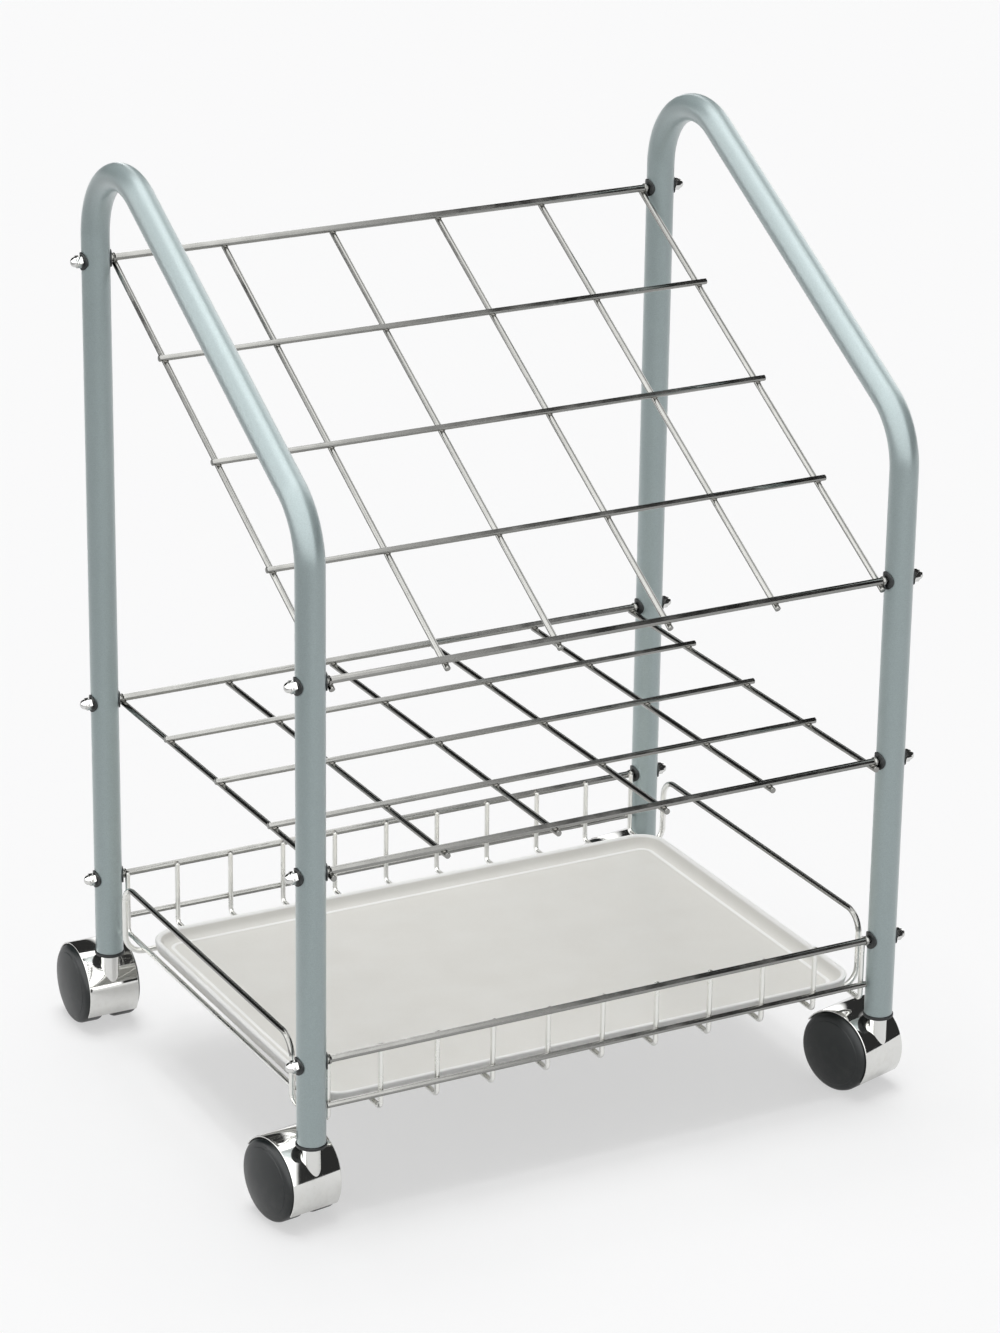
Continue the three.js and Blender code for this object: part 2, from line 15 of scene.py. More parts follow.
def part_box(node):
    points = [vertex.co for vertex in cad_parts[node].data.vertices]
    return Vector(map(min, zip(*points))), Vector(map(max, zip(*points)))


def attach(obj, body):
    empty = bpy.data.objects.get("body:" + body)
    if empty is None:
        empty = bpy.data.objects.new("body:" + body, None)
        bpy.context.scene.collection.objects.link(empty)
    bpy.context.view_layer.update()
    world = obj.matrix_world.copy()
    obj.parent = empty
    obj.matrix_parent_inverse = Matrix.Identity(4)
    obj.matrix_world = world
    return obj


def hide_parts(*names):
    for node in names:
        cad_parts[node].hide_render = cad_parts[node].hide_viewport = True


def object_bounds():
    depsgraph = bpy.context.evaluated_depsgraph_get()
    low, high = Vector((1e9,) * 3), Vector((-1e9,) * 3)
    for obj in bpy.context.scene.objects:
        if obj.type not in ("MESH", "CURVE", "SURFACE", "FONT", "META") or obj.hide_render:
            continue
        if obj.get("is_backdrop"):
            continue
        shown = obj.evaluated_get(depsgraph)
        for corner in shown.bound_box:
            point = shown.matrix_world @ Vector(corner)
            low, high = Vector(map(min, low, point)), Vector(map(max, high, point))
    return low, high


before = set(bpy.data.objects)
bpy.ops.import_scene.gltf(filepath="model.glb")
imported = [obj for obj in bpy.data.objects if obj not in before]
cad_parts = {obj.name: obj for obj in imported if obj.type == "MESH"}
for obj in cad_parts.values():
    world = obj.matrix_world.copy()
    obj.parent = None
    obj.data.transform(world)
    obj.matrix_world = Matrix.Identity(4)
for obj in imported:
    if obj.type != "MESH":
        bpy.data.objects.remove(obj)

cad_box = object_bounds()

# %% [markdown]
# Sizes are written in millimetres, as a workshop drawing has them, and counted from the point on the floor
# midway between the four posts. That point is measured from the two side frames, because the casters point
# different ways and so the middle of the whole cart is somewhere else.

# %% The middle of the posts
MM = 0.001
left_low, left_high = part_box("left_side_frame")
right_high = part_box("right_side_frame")[1]
MIDDLE = Vector(((left_low.x + right_high.x) / 2, (left_low.y + left_high.y) / 2, 0.0))


def at(x, y, z):
    """A place in millimetres from the floor point midway between the posts."""
    return MIDDLE + Vector((x, y, z)) * MM


print("middle of the posts", [round(c / MM, 2) for c in MIDDLE])

# %% [markdown]
# The camera stands in front and to the left, a little above the cart, with a long lens, so the posts stay
# almost parallel. A camera looks along its own -Z axis: it is tilted up from looking straight down, rolled
# a trace, and then turned about the vertical.

# %% Camera
CAMERA_PLACE = (-1305.6, -2438.1, 1369.5)
CAMERA_TURN = -28.26
CAMERA_TILT = 68.62
CAMERA_ROLL = 0.81
CAMERA_LENS = 121.85
SENSOR_WIDTH = 36.0


def new_object(name, data):
    """A new object in the scene."""
    made = bpy.data.objects.new(name, data)
    bpy.context.scene.collection.objects.link(made)
    return made


def rotation(degrees, axis):
    return Matrix.Rotation(math.radians(degrees), 4, axis)


camera_data = bpy.data.cameras.new("camera")
camera_data.lens = CAMERA_LENS
camera_data.sensor_width = SENSOR_WIDTH
camera = new_object("camera", camera_data)
turn = rotation(CAMERA_TURN, "Z")
tilt = rotation(CAMERA_TILT, "X")
roll = rotation(CAMERA_ROLL, "Z")
camera.matrix_world = Matrix.Translation(at(*CAMERA_PLACE)) @ turn @ tilt @ roll
bpy.context.scene.camera = camera
bpy.context.scene.view_settings.view_transform = "Standard"
print("camera at", [round(c, 3) for c in camera.location])

# %% [markdown]
# Shader trees are easier to read when one call adds a node and fills its inputs. A value that is itself a
# socket is linked, and anything else is set on the socket.

# %% Helpers for shader trees
WHITE = (1.0, 1.0, 1.0, 1.0)


def fill(tree, socket, value):
    """Link a value that is itself a socket, and set any other value on the socket."""
    if isinstance(value, bpy.types.NodeSocket):
        tree.links.new(value, socket)
    else:
        socket.default_value = value


def put(tree, kind, inputs=None, **settings):
    """Add a shader node. Each input is a plain value or the output socket that feeds it."""
    made = tree.nodes.new("ShaderNode" + kind)
    for name, value in settings.items():
        setattr(made, name, value)
    for name, value in (inputs or {}).items():
        fill(tree, made.inputs[name], value)
    return made


def calculate(tree, operation, first, second):
    return put(tree, "Math", {0: first, 1: second}, operation=operation).outputs[0]


def brightest(tree, first, *others):
    """The largest of several values."""
    for other in others:
        first = calculate(tree, "MAXIMUM", first, other)
    return first


def spread(tree, value, low, high, to_low=0.0, to_high=1.0):
    """Stretch a value from one range to another, and hold it inside the new one."""
    names = {"Value": value, "From Min": low, "From Max": high, "To Min": to_low, "To Max": to_high}
    return put(tree, "MapRange", names).outputs["Result"]


def band(tree, value, start, full, still_full, end):
    """One inside a range of the value, nothing outside it, with soft edges."""
    return calculate(tree, "MULTIPLY", spread(tree, value, start, full), spread(tree, value, end, still_full))


def blend_colours(tree, factor, first, second):
    return put(tree, "Mix", {0: factor, 6: first, 7: second}, data_type="RGBA").outputs[2]


def noise(tree, place, scale, detail):
    return put(tree, "TexNoise", {"Vector": place, "Scale": scale, "Detail": detail}).outputs["Fac"]


def colour(red, green, blue):
    """A screen colour, 0 to 255, as the linear values that a shader takes."""
    parts = [part / 255 for part in (red, green, blue)]
    linear = [part / 12.92 if part <= 0.04045 else ((part + 0.055) / 1.055) ** 2.4 for part in parts]
    return (*linear, 1.0)


print("white is", colour(255, 255, 255))

# %% [markdown]
# The studio is a white sweep under a wide soft lamp. The camera sees white. Chrome needs more than that,
# because a mirror in an all white room has no shape: the wall behind the cart and the room to its right are
# dark, the room to the left is bright, the ceiling over it brighter still, and far to the right hangs one
# more panel for the tubes. So the world answers by the kind of ray that asks. Two measures of a ray's
# direction place the parts of that room: how far it goes across to the right, and how much it faces the
# dark wall. An edge is a pair of such measures, nothing at the first and all of the light at the second,
# and a panel has four, because it has an edge at each end.

# %% World
ROOM_LIGHT = 0.32
SWEEP_WHITE = 0.975
DARK_ROOM = 0.03
BRIGHT_ROOM = 2.3
BRIGHT_CEILING = 2.8
BRIGHT_SIDE = 1.6
DARK_WALL = Vector((0.0, 0.8686, 0.4955))
WALL_EDGE = (0.56, 0.515)
WALL_SIDE = (0.32, 0.37)
ROOM_EDGE = (0.452, 0.395)
CEILING_EDGE = (0.30, 0.15)
NEAR_PANEL = (0.30, 0.42, 0.57, 0.61)
FAR_PANEL = (0.62, 0.65, 0.68, 0.71)
SIDE_EDGE = (0.56, 0.74)
SIDE_PANEL = (0.30, 0.44, 0.62, 0.72)


def ray_kinds(tree):
    """Two masks: rays that show the studio to the camera, straight or through glass, and mirrored rays."""
    path = put(tree, "LightPath").outputs
    return brightest(tree, path["Is Camera Ray"], path["Is Transmission Ray"]), path["Is Glossy Ray"]


def studio_world():
    world = bpy.data.worlds.new("studio")
    world.use_nodes = True
    tree = world.node_tree
    tree.nodes.clear()
    towards = put(tree, "TexCoord").outputs["Generated"]
    across = put(tree, "SeparateXYZ", {0: towards}).outputs["X"]
    facing = put(tree, "VectorMath", {0: towards, 1: DARK_WALL}, operation="DOT_PRODUCT").outputs["Value"]

    def lit_part(edge, strength, mask):
        return calculate(tree, "MULTIPLY", spread(tree, across, *edge, 0.0, strength), mask)

    off_wall = brightest(tree, spread(tree, facing, *WALL_EDGE), spread(tree, across, *WALL_SIDE))
    room = lit_part(ROOM_EDGE, BRIGHT_ROOM, off_wall)
    panels = brightest(tree, band(tree, facing, *NEAR_PANEL), band(tree, facing, *FAR_PANEL))
    ceiling = lit_part(CEILING_EDGE, BRIGHT_CEILING, panels)
    side = lit_part(SIDE_EDGE, BRIGHT_SIDE, band(tree, facing, *SIDE_PANEL))
    reflection = brightest(tree, room, ceiling, side, DARK_ROOM)
    shown, mirrored = ray_kinds(tree)
    unseen = put(tree, "Mix", {0: mirrored, 2: ROOM_LIGHT, 3: reflection})
    strength = put(tree, "Mix", {0: shown, 2: unseen.outputs[0], 3: SWEEP_WHITE})
    background = put(tree, "Background", {"Color": WHITE, "Strength": strength.outputs[0]})
    put(tree, "OutputWorld", {"Surface": background.outputs[0]})
    return world


bpy.context.scene.world = studio_world()
print("world", bpy.context.scene.world.name)

# %% [markdown]
# A sun with a wide disc is a soft overhead lamp that lights the whole floor evenly, so the sweep has no
# bright spot. It stands a little behind the cart, so the tray's shadow reaches out to the front. What chrome
# and clear coat mirror instead of it is the softbox: a glowing sheet about a metre over the cart, near
# enough that each wire sees it differently.

# %% Overhead lamp and softbox
LAMP_STRENGTH = 2.15
LAMP_WIDTH = 33.0
LAMP_FROM = Vector((0.03, 0.18, 1.0))
SOFTBOX_PLACE = (0.0, 100.0, 1750.0)
SOFTBOX_SIZE = (1000.0, 1300.0)
SOFTBOX_LIGHT = 2.2
lamp_data = bpy.data.lights.new("overhead", "SUN")
lamp_data.energy = LAMP_STRENGTH
lamp_data.angle = math.radians(LAMP_WIDTH)
lamp = new_object("overhead", lamp_data)
lamp.rotation_mode = "QUATERNION"
lamp.rotation_quaternion = LAMP_FROM.to_track_quat("Z", "Y")
lamp.visible_glossy = False


def mesh_from(bm, name):
    mesh = bpy.data.meshes.new(name)
    bm.to_mesh(mesh)
    bm.free()
    return mesh


def stage_sheet(name, centre, half_x, half_y, segments, material):
    """A flat sheet of the studio, which is not part of the cart."""
    bm = bmesh.new()
    place = Matrix.Translation(centre) @ Matrix.Diagonal((half_x, half_y, 1.0, 1.0))
    bmesh.ops.create_grid(bm, x_segments=segments, y_segments=segments, size=1.0, matrix=place)
    sheet = new_object(name, mesh_from(bm, name))
    sheet.data.materials.append(material)
    sheet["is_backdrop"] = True
    return sheet


def empty_material(name):
    """A new material whose shader tree is still empty, and that tree."""
    material = bpy.data.materials.new(name)
    material.use_nodes = True
    material.node_tree.nodes.clear()
    return material, material.node_tree


glow, glow_tree = empty_material("softbox_glow")
glowing = put(glow_tree, "Emission", {"Color": WHITE, "Strength": SOFTBOX_LIGHT})
put(glow_tree, "OutputMaterial", {"Surface": glowing.outputs[0]})
half_sizes = [length / 2 * MM for length in SOFTBOX_SIZE]
softbox = stage_sheet("softbox", at(*SOFTBOX_PLACE), *half_sizes, 1, glow)
softbox.visible_camera = False
softbox.visible_diffuse = False
softbox.visible_transmission = False
softbox.visible_shadow = False
print("lamp from", [round(c, 2) for c in LAMP_FROM], "softbox", SOFTBOX_SIZE, "mm")

# %% [markdown]
# The floor is pale paper. Part of what the camera sees there is its own white, and the rest is the light
# that falls on it, so the shadow under the cart stays. Mirrored in the posts, the paper's own white is
# painted darker towards the left, a painted shade on the posts' left edges, and for light that bounces on to
# the cart it is a plainer grey.

# %% Floor
FLOOR_HALF = 14.0
FLOOR_SEGMENTS = 8
OWN_WHITE = 0.55
MIRRORED_WHITE = 0.46
MIRRORED_DARK = 0.05
FALL_OFF_EDGE = (-1.1, -0.45)
PAPER_TONES = ((0.397, 0.397, 0.400, 1), (0.419, 0.419, 0.422, 1))
BOUNCE_GREY = (0.5, 0.5, 0.5, 1)


def paper_floor():
    material, tree = empty_material("pale_paper")
    shown, mirrored = ray_kinds(tree)
    place = put(tree, "TexCoord").outputs["Object"]
    across = put(tree, "SeparateXYZ", {0: place}).outputs["X"]
    # Painted shade: what the posts mirror of the paper darkens towards the left.
    fall_off = spread(tree, across, *FALL_OFF_EDGE, MIRRORED_DARK, MIRRORED_WHITE)
    own_light = put(tree, "Mix", {0: mirrored, 2: OWN_WHITE, 3: fall_off})
    fibre = noise(tree, place, scale=900.0, detail=3.0)
    lit = put(tree, "BsdfDiffuse", {"Color": blend_colours(tree, fibre, *PAPER_TONES)})
    own = put(tree, "Emission", {"Color": WHITE, "Strength": own_light.outputs[0]})
    bright = put(tree, "AddShader", {0: lit.outputs[0], 1: own.outputs[0]})
    bounce = put(tree, "BsdfDiffuse", {"Color": BOUNCE_GREY})
    seen = brightest(tree, shown, mirrored)
    both = put(tree, "MixShader", {0: seen, 1: bounce.outputs[0], 2: bright.outputs[0]})
    put(tree, "OutputMaterial", {"Surface": both.outputs[0]})
    return material


stage_sheet("floor", Vector((0, 0, 0)), FLOOR_HALF, FLOOR_HALF, FLOOR_SEGMENTS, paper_floor())
print("floor", 2 * FLOOR_HALF, "m wide")

# %% [markdown]
# Three effects come back in several finishes, so each is a node group with its own inputs: a fine grain,
# the soft patches and hair scratches of a handled surface, and a trace of dust near the floor.

# %% Shared effects
PATCH_EDGE = (0.32, 0.68)
SCRATCH_WIDTH = 0.03
SCRATCH_BREAKS = (0.55, 0.7)
FLECK_EDGE = (0.45, 0.75)


def new_group(name, inputs, outputs):
    group = bpy.data.node_groups.new(name, "ShaderNodeTree")
    for label, value in inputs.items():
        socket = group.interface.new_socket(label, in_out="INPUT", socket_type="NodeSocketFloat")
        socket.default_value = value
    for label in outputs:
        group.interface.new_socket(label, in_out="OUTPUT", socket_type="NodeSocketFloat")
    return group, group.nodes.new("NodeGroupInput").outputs, group.nodes.new("NodeGroupOutput").inputs


def grain_group():
    group, given, result = new_group("fine_grain", {"Scale": 800.0, "Pits": 0.5}, ["Height", "Speck"])
    place = put(group, "TexCoord").outputs["Object"]
    soft = noise(group, place, given["Scale"], detail=4.0)
    cells = put(group, "TexVoronoi", {"Vector": place, "Scale": given["Scale"]})
    pits = calculate(group, "MULTIPLY", cells.outputs["Distance"], given["Pits"])
    fill(group, result["Height"], calculate(group, "ADD", soft, pits))
    speck = put(group, "SeparateColor", {0: cells.outputs["Color"]})
    fill(group, result["Speck"], speck.outputs[0])
    return group


def handling_group():
    group, given, result = new_group("handling", {"Patches": 18.0, "Scratches": 260.0}, ["Patch", "Scratch"])
    place = put(group, "TexCoord").outputs["Object"]
    patch = noise(group, place, given["Patches"], detail=5.0)
    fill(group, result["Patch"], spread(group, patch, *PATCH_EDGE))
    cells = {"Vector": place, "Scale": given["Scratches"]}
    lines = put(group, "TexVoronoi", cells, feature="DISTANCE_TO_EDGE")
    thin = spread(group, lines.outputs["Distance"], 0.0, SCRATCH_WIDTH, 1.0, 0.0)
    broken = spread(group, noise(group, place, scale=70.0, detail=2.0), *SCRATCH_BREAKS)
    fill(group, result["Scratch"], calculate(group, "MULTIPLY", thin, broken))
    return group


def dust_group():
    group, given, result = new_group("floor_dust", {"Top": 0.06, "Scale": 120.0}, ["Dust"])
    place = put(group, "TexCoord").outputs["Object"]
    height = put(group, "SeparateXYZ", {0: place}).outputs["Z"]
    near = spread(group, height, given["Top"], 0.0)
    flecks = spread(group, noise(group, place, given["Scale"], detail=6.0), *FLECK_EDGE)
    fill(group, result["Dust"], calculate(group, "MULTIPLY", near, flecks))
    return group


GRAIN = grain_group()
HANDLING = handling_group()
DUST = dust_group()
print("node groups", [group.name for group in (GRAIN, HANDLING, DUST)])

# %% [markdown]
# Every finish starts as one Principled shader. The effects are masks from 0 to 1, so most of a finish is
# tints laid over a base colour and amounts added to the roughness, each where a mask says so.


# %% Start of a finish
def new_finish(name):
    material, tree = empty_material(name)
    shader = put(tree, "BsdfPrincipled")
    put(tree, "OutputMaterial", {"Surface": shader.outputs[0]})
    return material, tree, shader


def effect(tree, group, **values):
    made = put(tree, "Group", node_tree=group)
    for label, value in values.items():
        made.inputs[label].default_value = value
    return made.outputs


def painted(tree, label):
    """A mask that is painted on the mesh as an attribute."""
    return put(tree, "Attribute", attribute_name=label).outputs["Fac"]


def scaled(tree, mask, low, high):
    return spread(tree, mask, 0.0, 1.0, low, high)


def tinted(tree, base, tint, mask, share):
    """Lay a tint over a base colour, up to a share of it where the mask is full."""
    return blend_colours(tree, scaled(tree, mask, 0.0, share), base, tint)


def roughened(tree, rough, mask, amount):
    return calculate(tree, "ADD", rough, scaled(tree, mask, 0.0, amount))


def raised(tree, height, distance, strength, normal=None):
    inputs = {"Height": height, "Distance": distance, "Strength": strength}
    if normal is not None:
        inputs["Normal"] = normal
    return put(tree, "Bump", inputs).outputs["Normal"]


def feed(tree, shader, **sources):
    for label, source in sources.items():
        fill(tree, shader.inputs[label.replace("_", " ")], source)


print("finish helpers ready")

# %% [markdown]
# The side frames have a satin silver paint with a trace of blue and green: fine metal flakes in a clear
# coat, with the faint orange peel that sprayed paint keeps. Flakes are cells of a Voronoi texture about half
# a millimetre wide, each a little lighter or darker than the next.

# %% Satin silver paint
DEEP_FLAKE = colour(172, 188, 189)
PALE_FLAKE = colour(186, 202, 203)
PAINT_PATCH = colour(170, 186, 186)
PAINT_SCUFF = colour(208, 217, 218)


def satin_paint():
    material, tree, shader = new_finish("satin_silver_paint")
    flakes = effect(tree, GRAIN, Scale=2600.0, Pits=0.4)
    peel = effect(tree, GRAIN, Scale=260.0, Pits=0.0)
    marks = effect(tree, HANDLING, Patches=11.0, Scratches=150.0)
    tone = blend_colours(tree, flakes["Speck"], DEEP_FLAKE, PALE_FLAKE)
    tone = tinted(tree, tone, PAINT_PATCH, marks["Patch"], share=0.2)
    tone = tinted(tree, tone, PAINT_SCUFF, marks["Scratch"], share=0.2)
    rough = scaled(tree, marks["Patch"], low=0.30, high=0.38)
    bumps = raised(tree, peel["Height"], distance=0.00003, strength=0.15)
    bumps = raised(tree, flakes["Height"], distance=0.00001, strength=0.1, normal=bumps)
    feed(tree, shader, Base_Color=tone, Roughness=rough, Normal=bumps)
    feed(tree, shader, Metallic=0.25, Coat_Weight=1.0, Coat_Roughness=0.36)
    return material


PAINT = satin_paint()
print("finish", PAINT.name)

# %% [markdown]
# Chrome is almost all reflection. What makes it look plated and not computed is a faint change of gloss from
# patch to patch, a few hair scratches, and at the welds a duller, slightly burnt plating. The welds carry an
# attribute of their own, painted on the mesh where two wires cross. The floor wires and the uprights of the
# basket's rails carry one too, and there the chrome is painted paler and made rougher: a painted sheen for
# the bright floor they mirror.

# %% Chrome
# The paler tint of the painted sheen on the floor wires and the rails' uprights.
PAINTED_SHEEN_TINT = colour(238, 238, 234)
BURNT_PLATING = colour(112, 106, 98)
CHROME_DUST = colour(196, 192, 184)


def chrome(name, tint, dull_tint, gloss, patches):
    material, tree, shader = new_finish(name)
    marks = effect(tree, HANDLING, Patches=patches, Scratches=420.0)
    dust = effect(tree, DUST, Top=0.05, Scale=240.0)
    ripple = effect(tree, GRAIN, Scale=240.0, Pits=0.0)
    weld_mask = painted(tree, "weld")
    painted_sheen_mask = painted(tree, "painted_sheen")
    tone = tinted(tree, tint, dull_tint, marks["Patch"], share=0.35)
    # Painted sheen: where the mesh is marked, the chrome turns paler.
    tone = blend_colours(tree, painted_sheen_mask, tone, PAINTED_SHEEN_TINT)
    tone = tinted(tree, tone, BURNT_PLATING, weld_mask, share=0.45)
    tone = tinted(tree, tone, CHROME_DUST, dust["Dust"], share=0.3)
    rough = scaled(tree, marks["Patch"], *gloss)
    rough = roughened(tree, rough, marks["Scratch"], amount=0.10)
    rough = roughened(tree, rough, weld_mask, amount=0.18)
    rough = roughened(tree, rough, painted_sheen_mask, amount=0.18)
    feed(tree, shader, Base_Color=tone, Roughness=rough, Metallic=1.0)
    feed(tree, shader, Normal=raised(tree, ripple["Height"], distance=0.00003, strength=0.12))
    return material


WIRE_CHROME = chrome("wire_chrome", colour(152, 152, 149), colour(138, 138, 135), (0.07, 0.16), 60.0)
NUT_CHROME = chrome("nut_chrome", colour(222, 222, 220), colour(204, 204, 202), (0.08, 0.18), 140.0)
HOOD_CHROME = chrome("hood_chrome", colour(232, 232, 229), colour(216, 217, 215), (0.03, 0.09), 45.0)
print("chrome for wires, nuts and hoods")

# %% [markdown]
# The washers are blackened steel, the caster stems and pins bright turned steel. Turning leaves fine rings,
# but these pieces are so small and so hidden that an even grain says enough.


# %% Steel
def steel(name, dark, light, gloss):
    material, tree, shader = new_finish(name)
    grain = effect(tree, GRAIN, Scale=1500.0, Pits=0.3)
    marks = effect(tree, HANDLING, Patches=190.0, Scratches=700.0)
    tone = blend_colours(tree, marks["Patch"], dark, light)
    tone = tinted(tree, tone, light, grain["Speck"], share=0.2)
    feed(tree, shader, Base_Color=tone, Roughness=scaled(tree, marks["Patch"], *gloss), Metallic=1.0)
    feed(tree, shader, Normal=raised(tree, grain["Height"], distance=0.00002, strength=0.3))
    return material


WASHER_STEEL = steel("blackened_steel", colour(54, 56, 56), colour(82, 84, 84), (0.32, 0.46))
STEM_STEEL = steel("turned_steel", colour(150, 150, 148), colour(182, 182, 180), (0.22, 0.34))
print("finishes", WASHER_STEEL.name, STEM_STEEL.name)

# %% [markdown]
# Three moulded plastics: the warm white tray with the fine leather-like grain of its tool, the near black
# wheels with a dull tread, and the black socket in each post. A moulded surface has pits from the tool, soft
# patches in its gloss and, close to the floor, some dust.

# %% Moulded plastic
PALE_DUST = colour(206, 202, 194)
GREY_DUST = colour(120, 118, 112)
# The near white of the painted highlight on the tray's rim and bead.
PAINTED_HIGHLIGHT_WHITE = colour(252, 252, 250)


def plastic(name, body, shade, gloss, grain_scale, depth, dust_tint, dust_share):
    material, tree, shader = new_finish(name)
    grain = effect(tree, GRAIN, Scale=grain_scale, Pits=0.8)
    marks = effect(tree, HANDLING, Patches=26.0, Scratches=190.0)
    dust = effect(tree, DUST, Top=0.055, Scale=160.0)
    tone = tinted(tree, body, shade, marks["Patch"], share=0.5)
    tone = tinted(tree, tone, shade, grain["Speck"], share=0.18)
    tone = tinted(tree, tone, dust_tint, dust["Dust"], share=dust_share)
    # Painted highlight: where the mesh is marked, the plastic turns near white.
    tone = blend_colours(tree, painted(tree, "painted_highlight"), tone, PAINTED_HIGHLIGHT_WHITE)
    rough = scaled(tree, marks["Patch"], *gloss)
    rough = roughened(tree, rough, marks["Scratch"], amount=-0.06)
    bumps = raised(tree, grain["Height"], distance=depth, strength=0.35)
    feed(tree, shader, Base_Color=tone, Roughness=rough, Normal=bumps)
    return material


TRAY_PLASTIC = plastic(
    "tray_plastic",
    body=colour(232, 231, 226),
    shade=colour(226, 224, 218),
    gloss=(0.42, 0.54),
    grain_scale=1100.0,
    depth=0.00006,
    dust_tint=PALE_DUST,
    dust_share=0.1,
)
WHEEL_PLASTIC = plastic(
    "wheel_plastic",
    body=colour(24, 29, 30),
    shade=colour(31, 36, 37),
    gloss=(0.30, 0.40),
    grain_scale=1400.0,
    depth=0.00004,
    dust_tint=GREY_DUST,
    dust_share=0.12,
)
SOCKET_PLASTIC = plastic(
    "socket_plastic",
    body=colour(34, 37, 38),
    shade=colour(46, 49, 50),
    gloss=(0.42, 0.52),
    grain_scale=1000.0,
    depth=0.00004,
    dust_tint=GREY_DUST,
    dust_share=0.05,
)
print("plastics", TRAY_PLASTIC.name, WHEEL_PLASTIC.name, SOCKET_PLASTIC.name)

# %% [markdown]
# Every tube and wire here is the same idea: a round section pushed along straight runs and turned round
# bends. A curve with a round bevel could do it too, but the extrude and spin operators do exactly what a
# bending machine does, so a bar starts as one open ring at its first end, and the ring travels. One more
# ring lies close to each end, so that a rounded end doesn't bend the shading of the whole run.

# %% Bars with bends
UP = Vector((0, 0, 1))
END_RING = 1.0


def only(geometry, kind):
    """Those items of an operator's result that are of one kind."""
    return [item for item in geometry if isinstance(item, kind)]


def vertices_of(edges):
    return list({vert for edge in edges for vert in edge.verts})


def standing(centre, along):
    """The matrix that moves a shape drawn about the Z axis to a centre, with that axis along a direction."""
    return Matrix.Translation(centre) @ UP.rotation_difference(along).to_matrix().to_4x4()


def spun(bm, geometry, centre, axis, angle, steps, merge=False):
    return bmesh.ops.spin(
        bm,
        geom=geometry,
        cent=centre,
        axis=axis,
        dvec=(0, 0, 0),
        angle=angle,
        steps=steps,
        use_merge=merge,
        use_normal_flip=False,
        use_duplicate=False,
    )


def open_ring(bm, centre, along, radius, sides):
    place = standing(centre, along)
    made = bmesh.ops.create_circle(bm, cap_ends=False, radius=radius, segments=sides, matrix=place)
    return list({edge for vert in made["verts"] for edge in vert.link_edges})


def straight_run(bm, rim, move):
    made = bmesh.ops.extrude_edge_only(bm, edges=rim)["geom"]
    verts = only(made, bmesh.types.BMVert)
    bmesh.ops.translate(bm, vec=move, verts=verts)
    return [edge for edge in only(made, bmesh.types.BMEdge) if set(edge.verts) <= set(verts)]


def round_bend(bm, rim, centre, axis, angle, step):
    steps = max(2, round(math.degrees(angle) / step))
    made = spun(bm, rim + vertices_of(rim), centre, axis, angle, steps)
    return only(made["geom_last"], bmesh.types.BMEdge)


def bent_bar(bm, corners, radius, sides, bend=0.0, step=6.0):
    """A bar through these corners, each inner corner a round bend. Returns its two open end rings."""
    starting = (corners[1] - corners[0]).normalized() * END_RING * MM
    ending = (corners[-1] - corners[-2]).normalized() * END_RING * MM
    first = open_ring(bm, corners[0], starting.normalized(), radius, sides)
    rim = straight_run(bm, first, starting)
    reached = corners[0] + starting
    for before, corner, after in zip(corners, corners[1:], corners[2:]):
        arriving = (corner - before).normalized()
        leaving = (after - corner).normalized()
        angle = arriving.angle(leaving)
        axis = arriving.cross(leaving).normalized()
        setback = bend * math.tan(angle / 2)
        start = corner - arriving * setback
        rim = straight_run(bm, rim, start - reached)
        rim = round_bend(bm, rim, start + axis.cross(arriving) * bend, axis, angle, step)
        reached = corner + leaving * setback
    rim = straight_run(bm, rim, corners[-1] - ending - reached)
    rim = straight_run(bm, rim, ending)
    return [first, rim]


print("bar helpers ready")

# %% [markdown]
# Nuts, washers, sockets and wheels come off a lathe. A profile of a few points spins once round its axis,
# the seam and the poles are merged, and then every sharp edge gets a small round.

# %% Turned pieces
TURN_STEPS = 40
MERGE_DISTANCE = 0.0005
SHORTEST_EDGE = 0.0002


def outward(bm):
    """Merge seams and poles, then point every face outwards."""
    bmesh.ops.remove_doubles(bm, verts=bm.verts, dist=MERGE_DISTANCE * MM)
    bmesh.ops.dissolve_degenerate(bm, dist=SHORTEST_EDGE * MM, edges=bm.edges)
    bmesh.ops.recalc_face_normals(bm, faces=bm.faces)


def turned(bm, profile, foot, along, steps=TURN_STEPS):
    """Spin a profile of (radius, height) pairs in millimetres about the line from foot along a direction."""
    outwards = along.orthogonal().normalized()
    verts = [bm.verts.new(foot + (along * high + outwards * wide) * MM) for wide, high in profile]
    edges = [bm.edges.new(pair) for pair in zip(verts, verts[1:])]
    spun(bm, verts + edges, foot, along, math.tau, steps, merge=True)
    outward(bm)


def rounded(bm, geometry, offset, segments=2, affect="EDGES"):
    bmesh.ops.bevel(
        bm,
        geom=geometry,
        offset=offset * MM,
        offset_type="OFFSET",
        segments=segments,
        profile=0.5,
        affect=affect,
        clamp_overlap=True,
        material=-1,
    )


def soften(bm, offset, segments=2, angle=32.0):
    """Round every edge that is sharper than this angle."""
    limit = math.radians(angle)
    sharp = [edge for edge in bm.edges if len(edge.link_faces) == 2 and edge.calc_face_angle() > limit]
    rounded(bm, sharp, offset, segments)


def finish_piece(bm, name, body, nodes, finishes, smooth_angle=38.0):
    """Turn a bmesh into a piece of the cart that stands for its CAD nodes and rides on their body."""
    mesh = mesh_from(bm, name)
    mesh.shade_smooth()
    mesh.set_sharp_from_angle(angle=math.radians(smooth_angle))
    for finish in finishes:
        mesh.materials.append(finish)
    piece = new_object(name, mesh)
    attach(piece, body)
    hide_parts(*nodes)
    return piece


print("lathe helpers ready")

# %% [markdown]
# A side frame is one tube: up the back post, round the top bend, down the slope, round the front bend and
# down the front post. It is bent as a skin first, and the solidify operator then gives it the wall of a real
# tube, so its feet are open where the caster sockets go in.

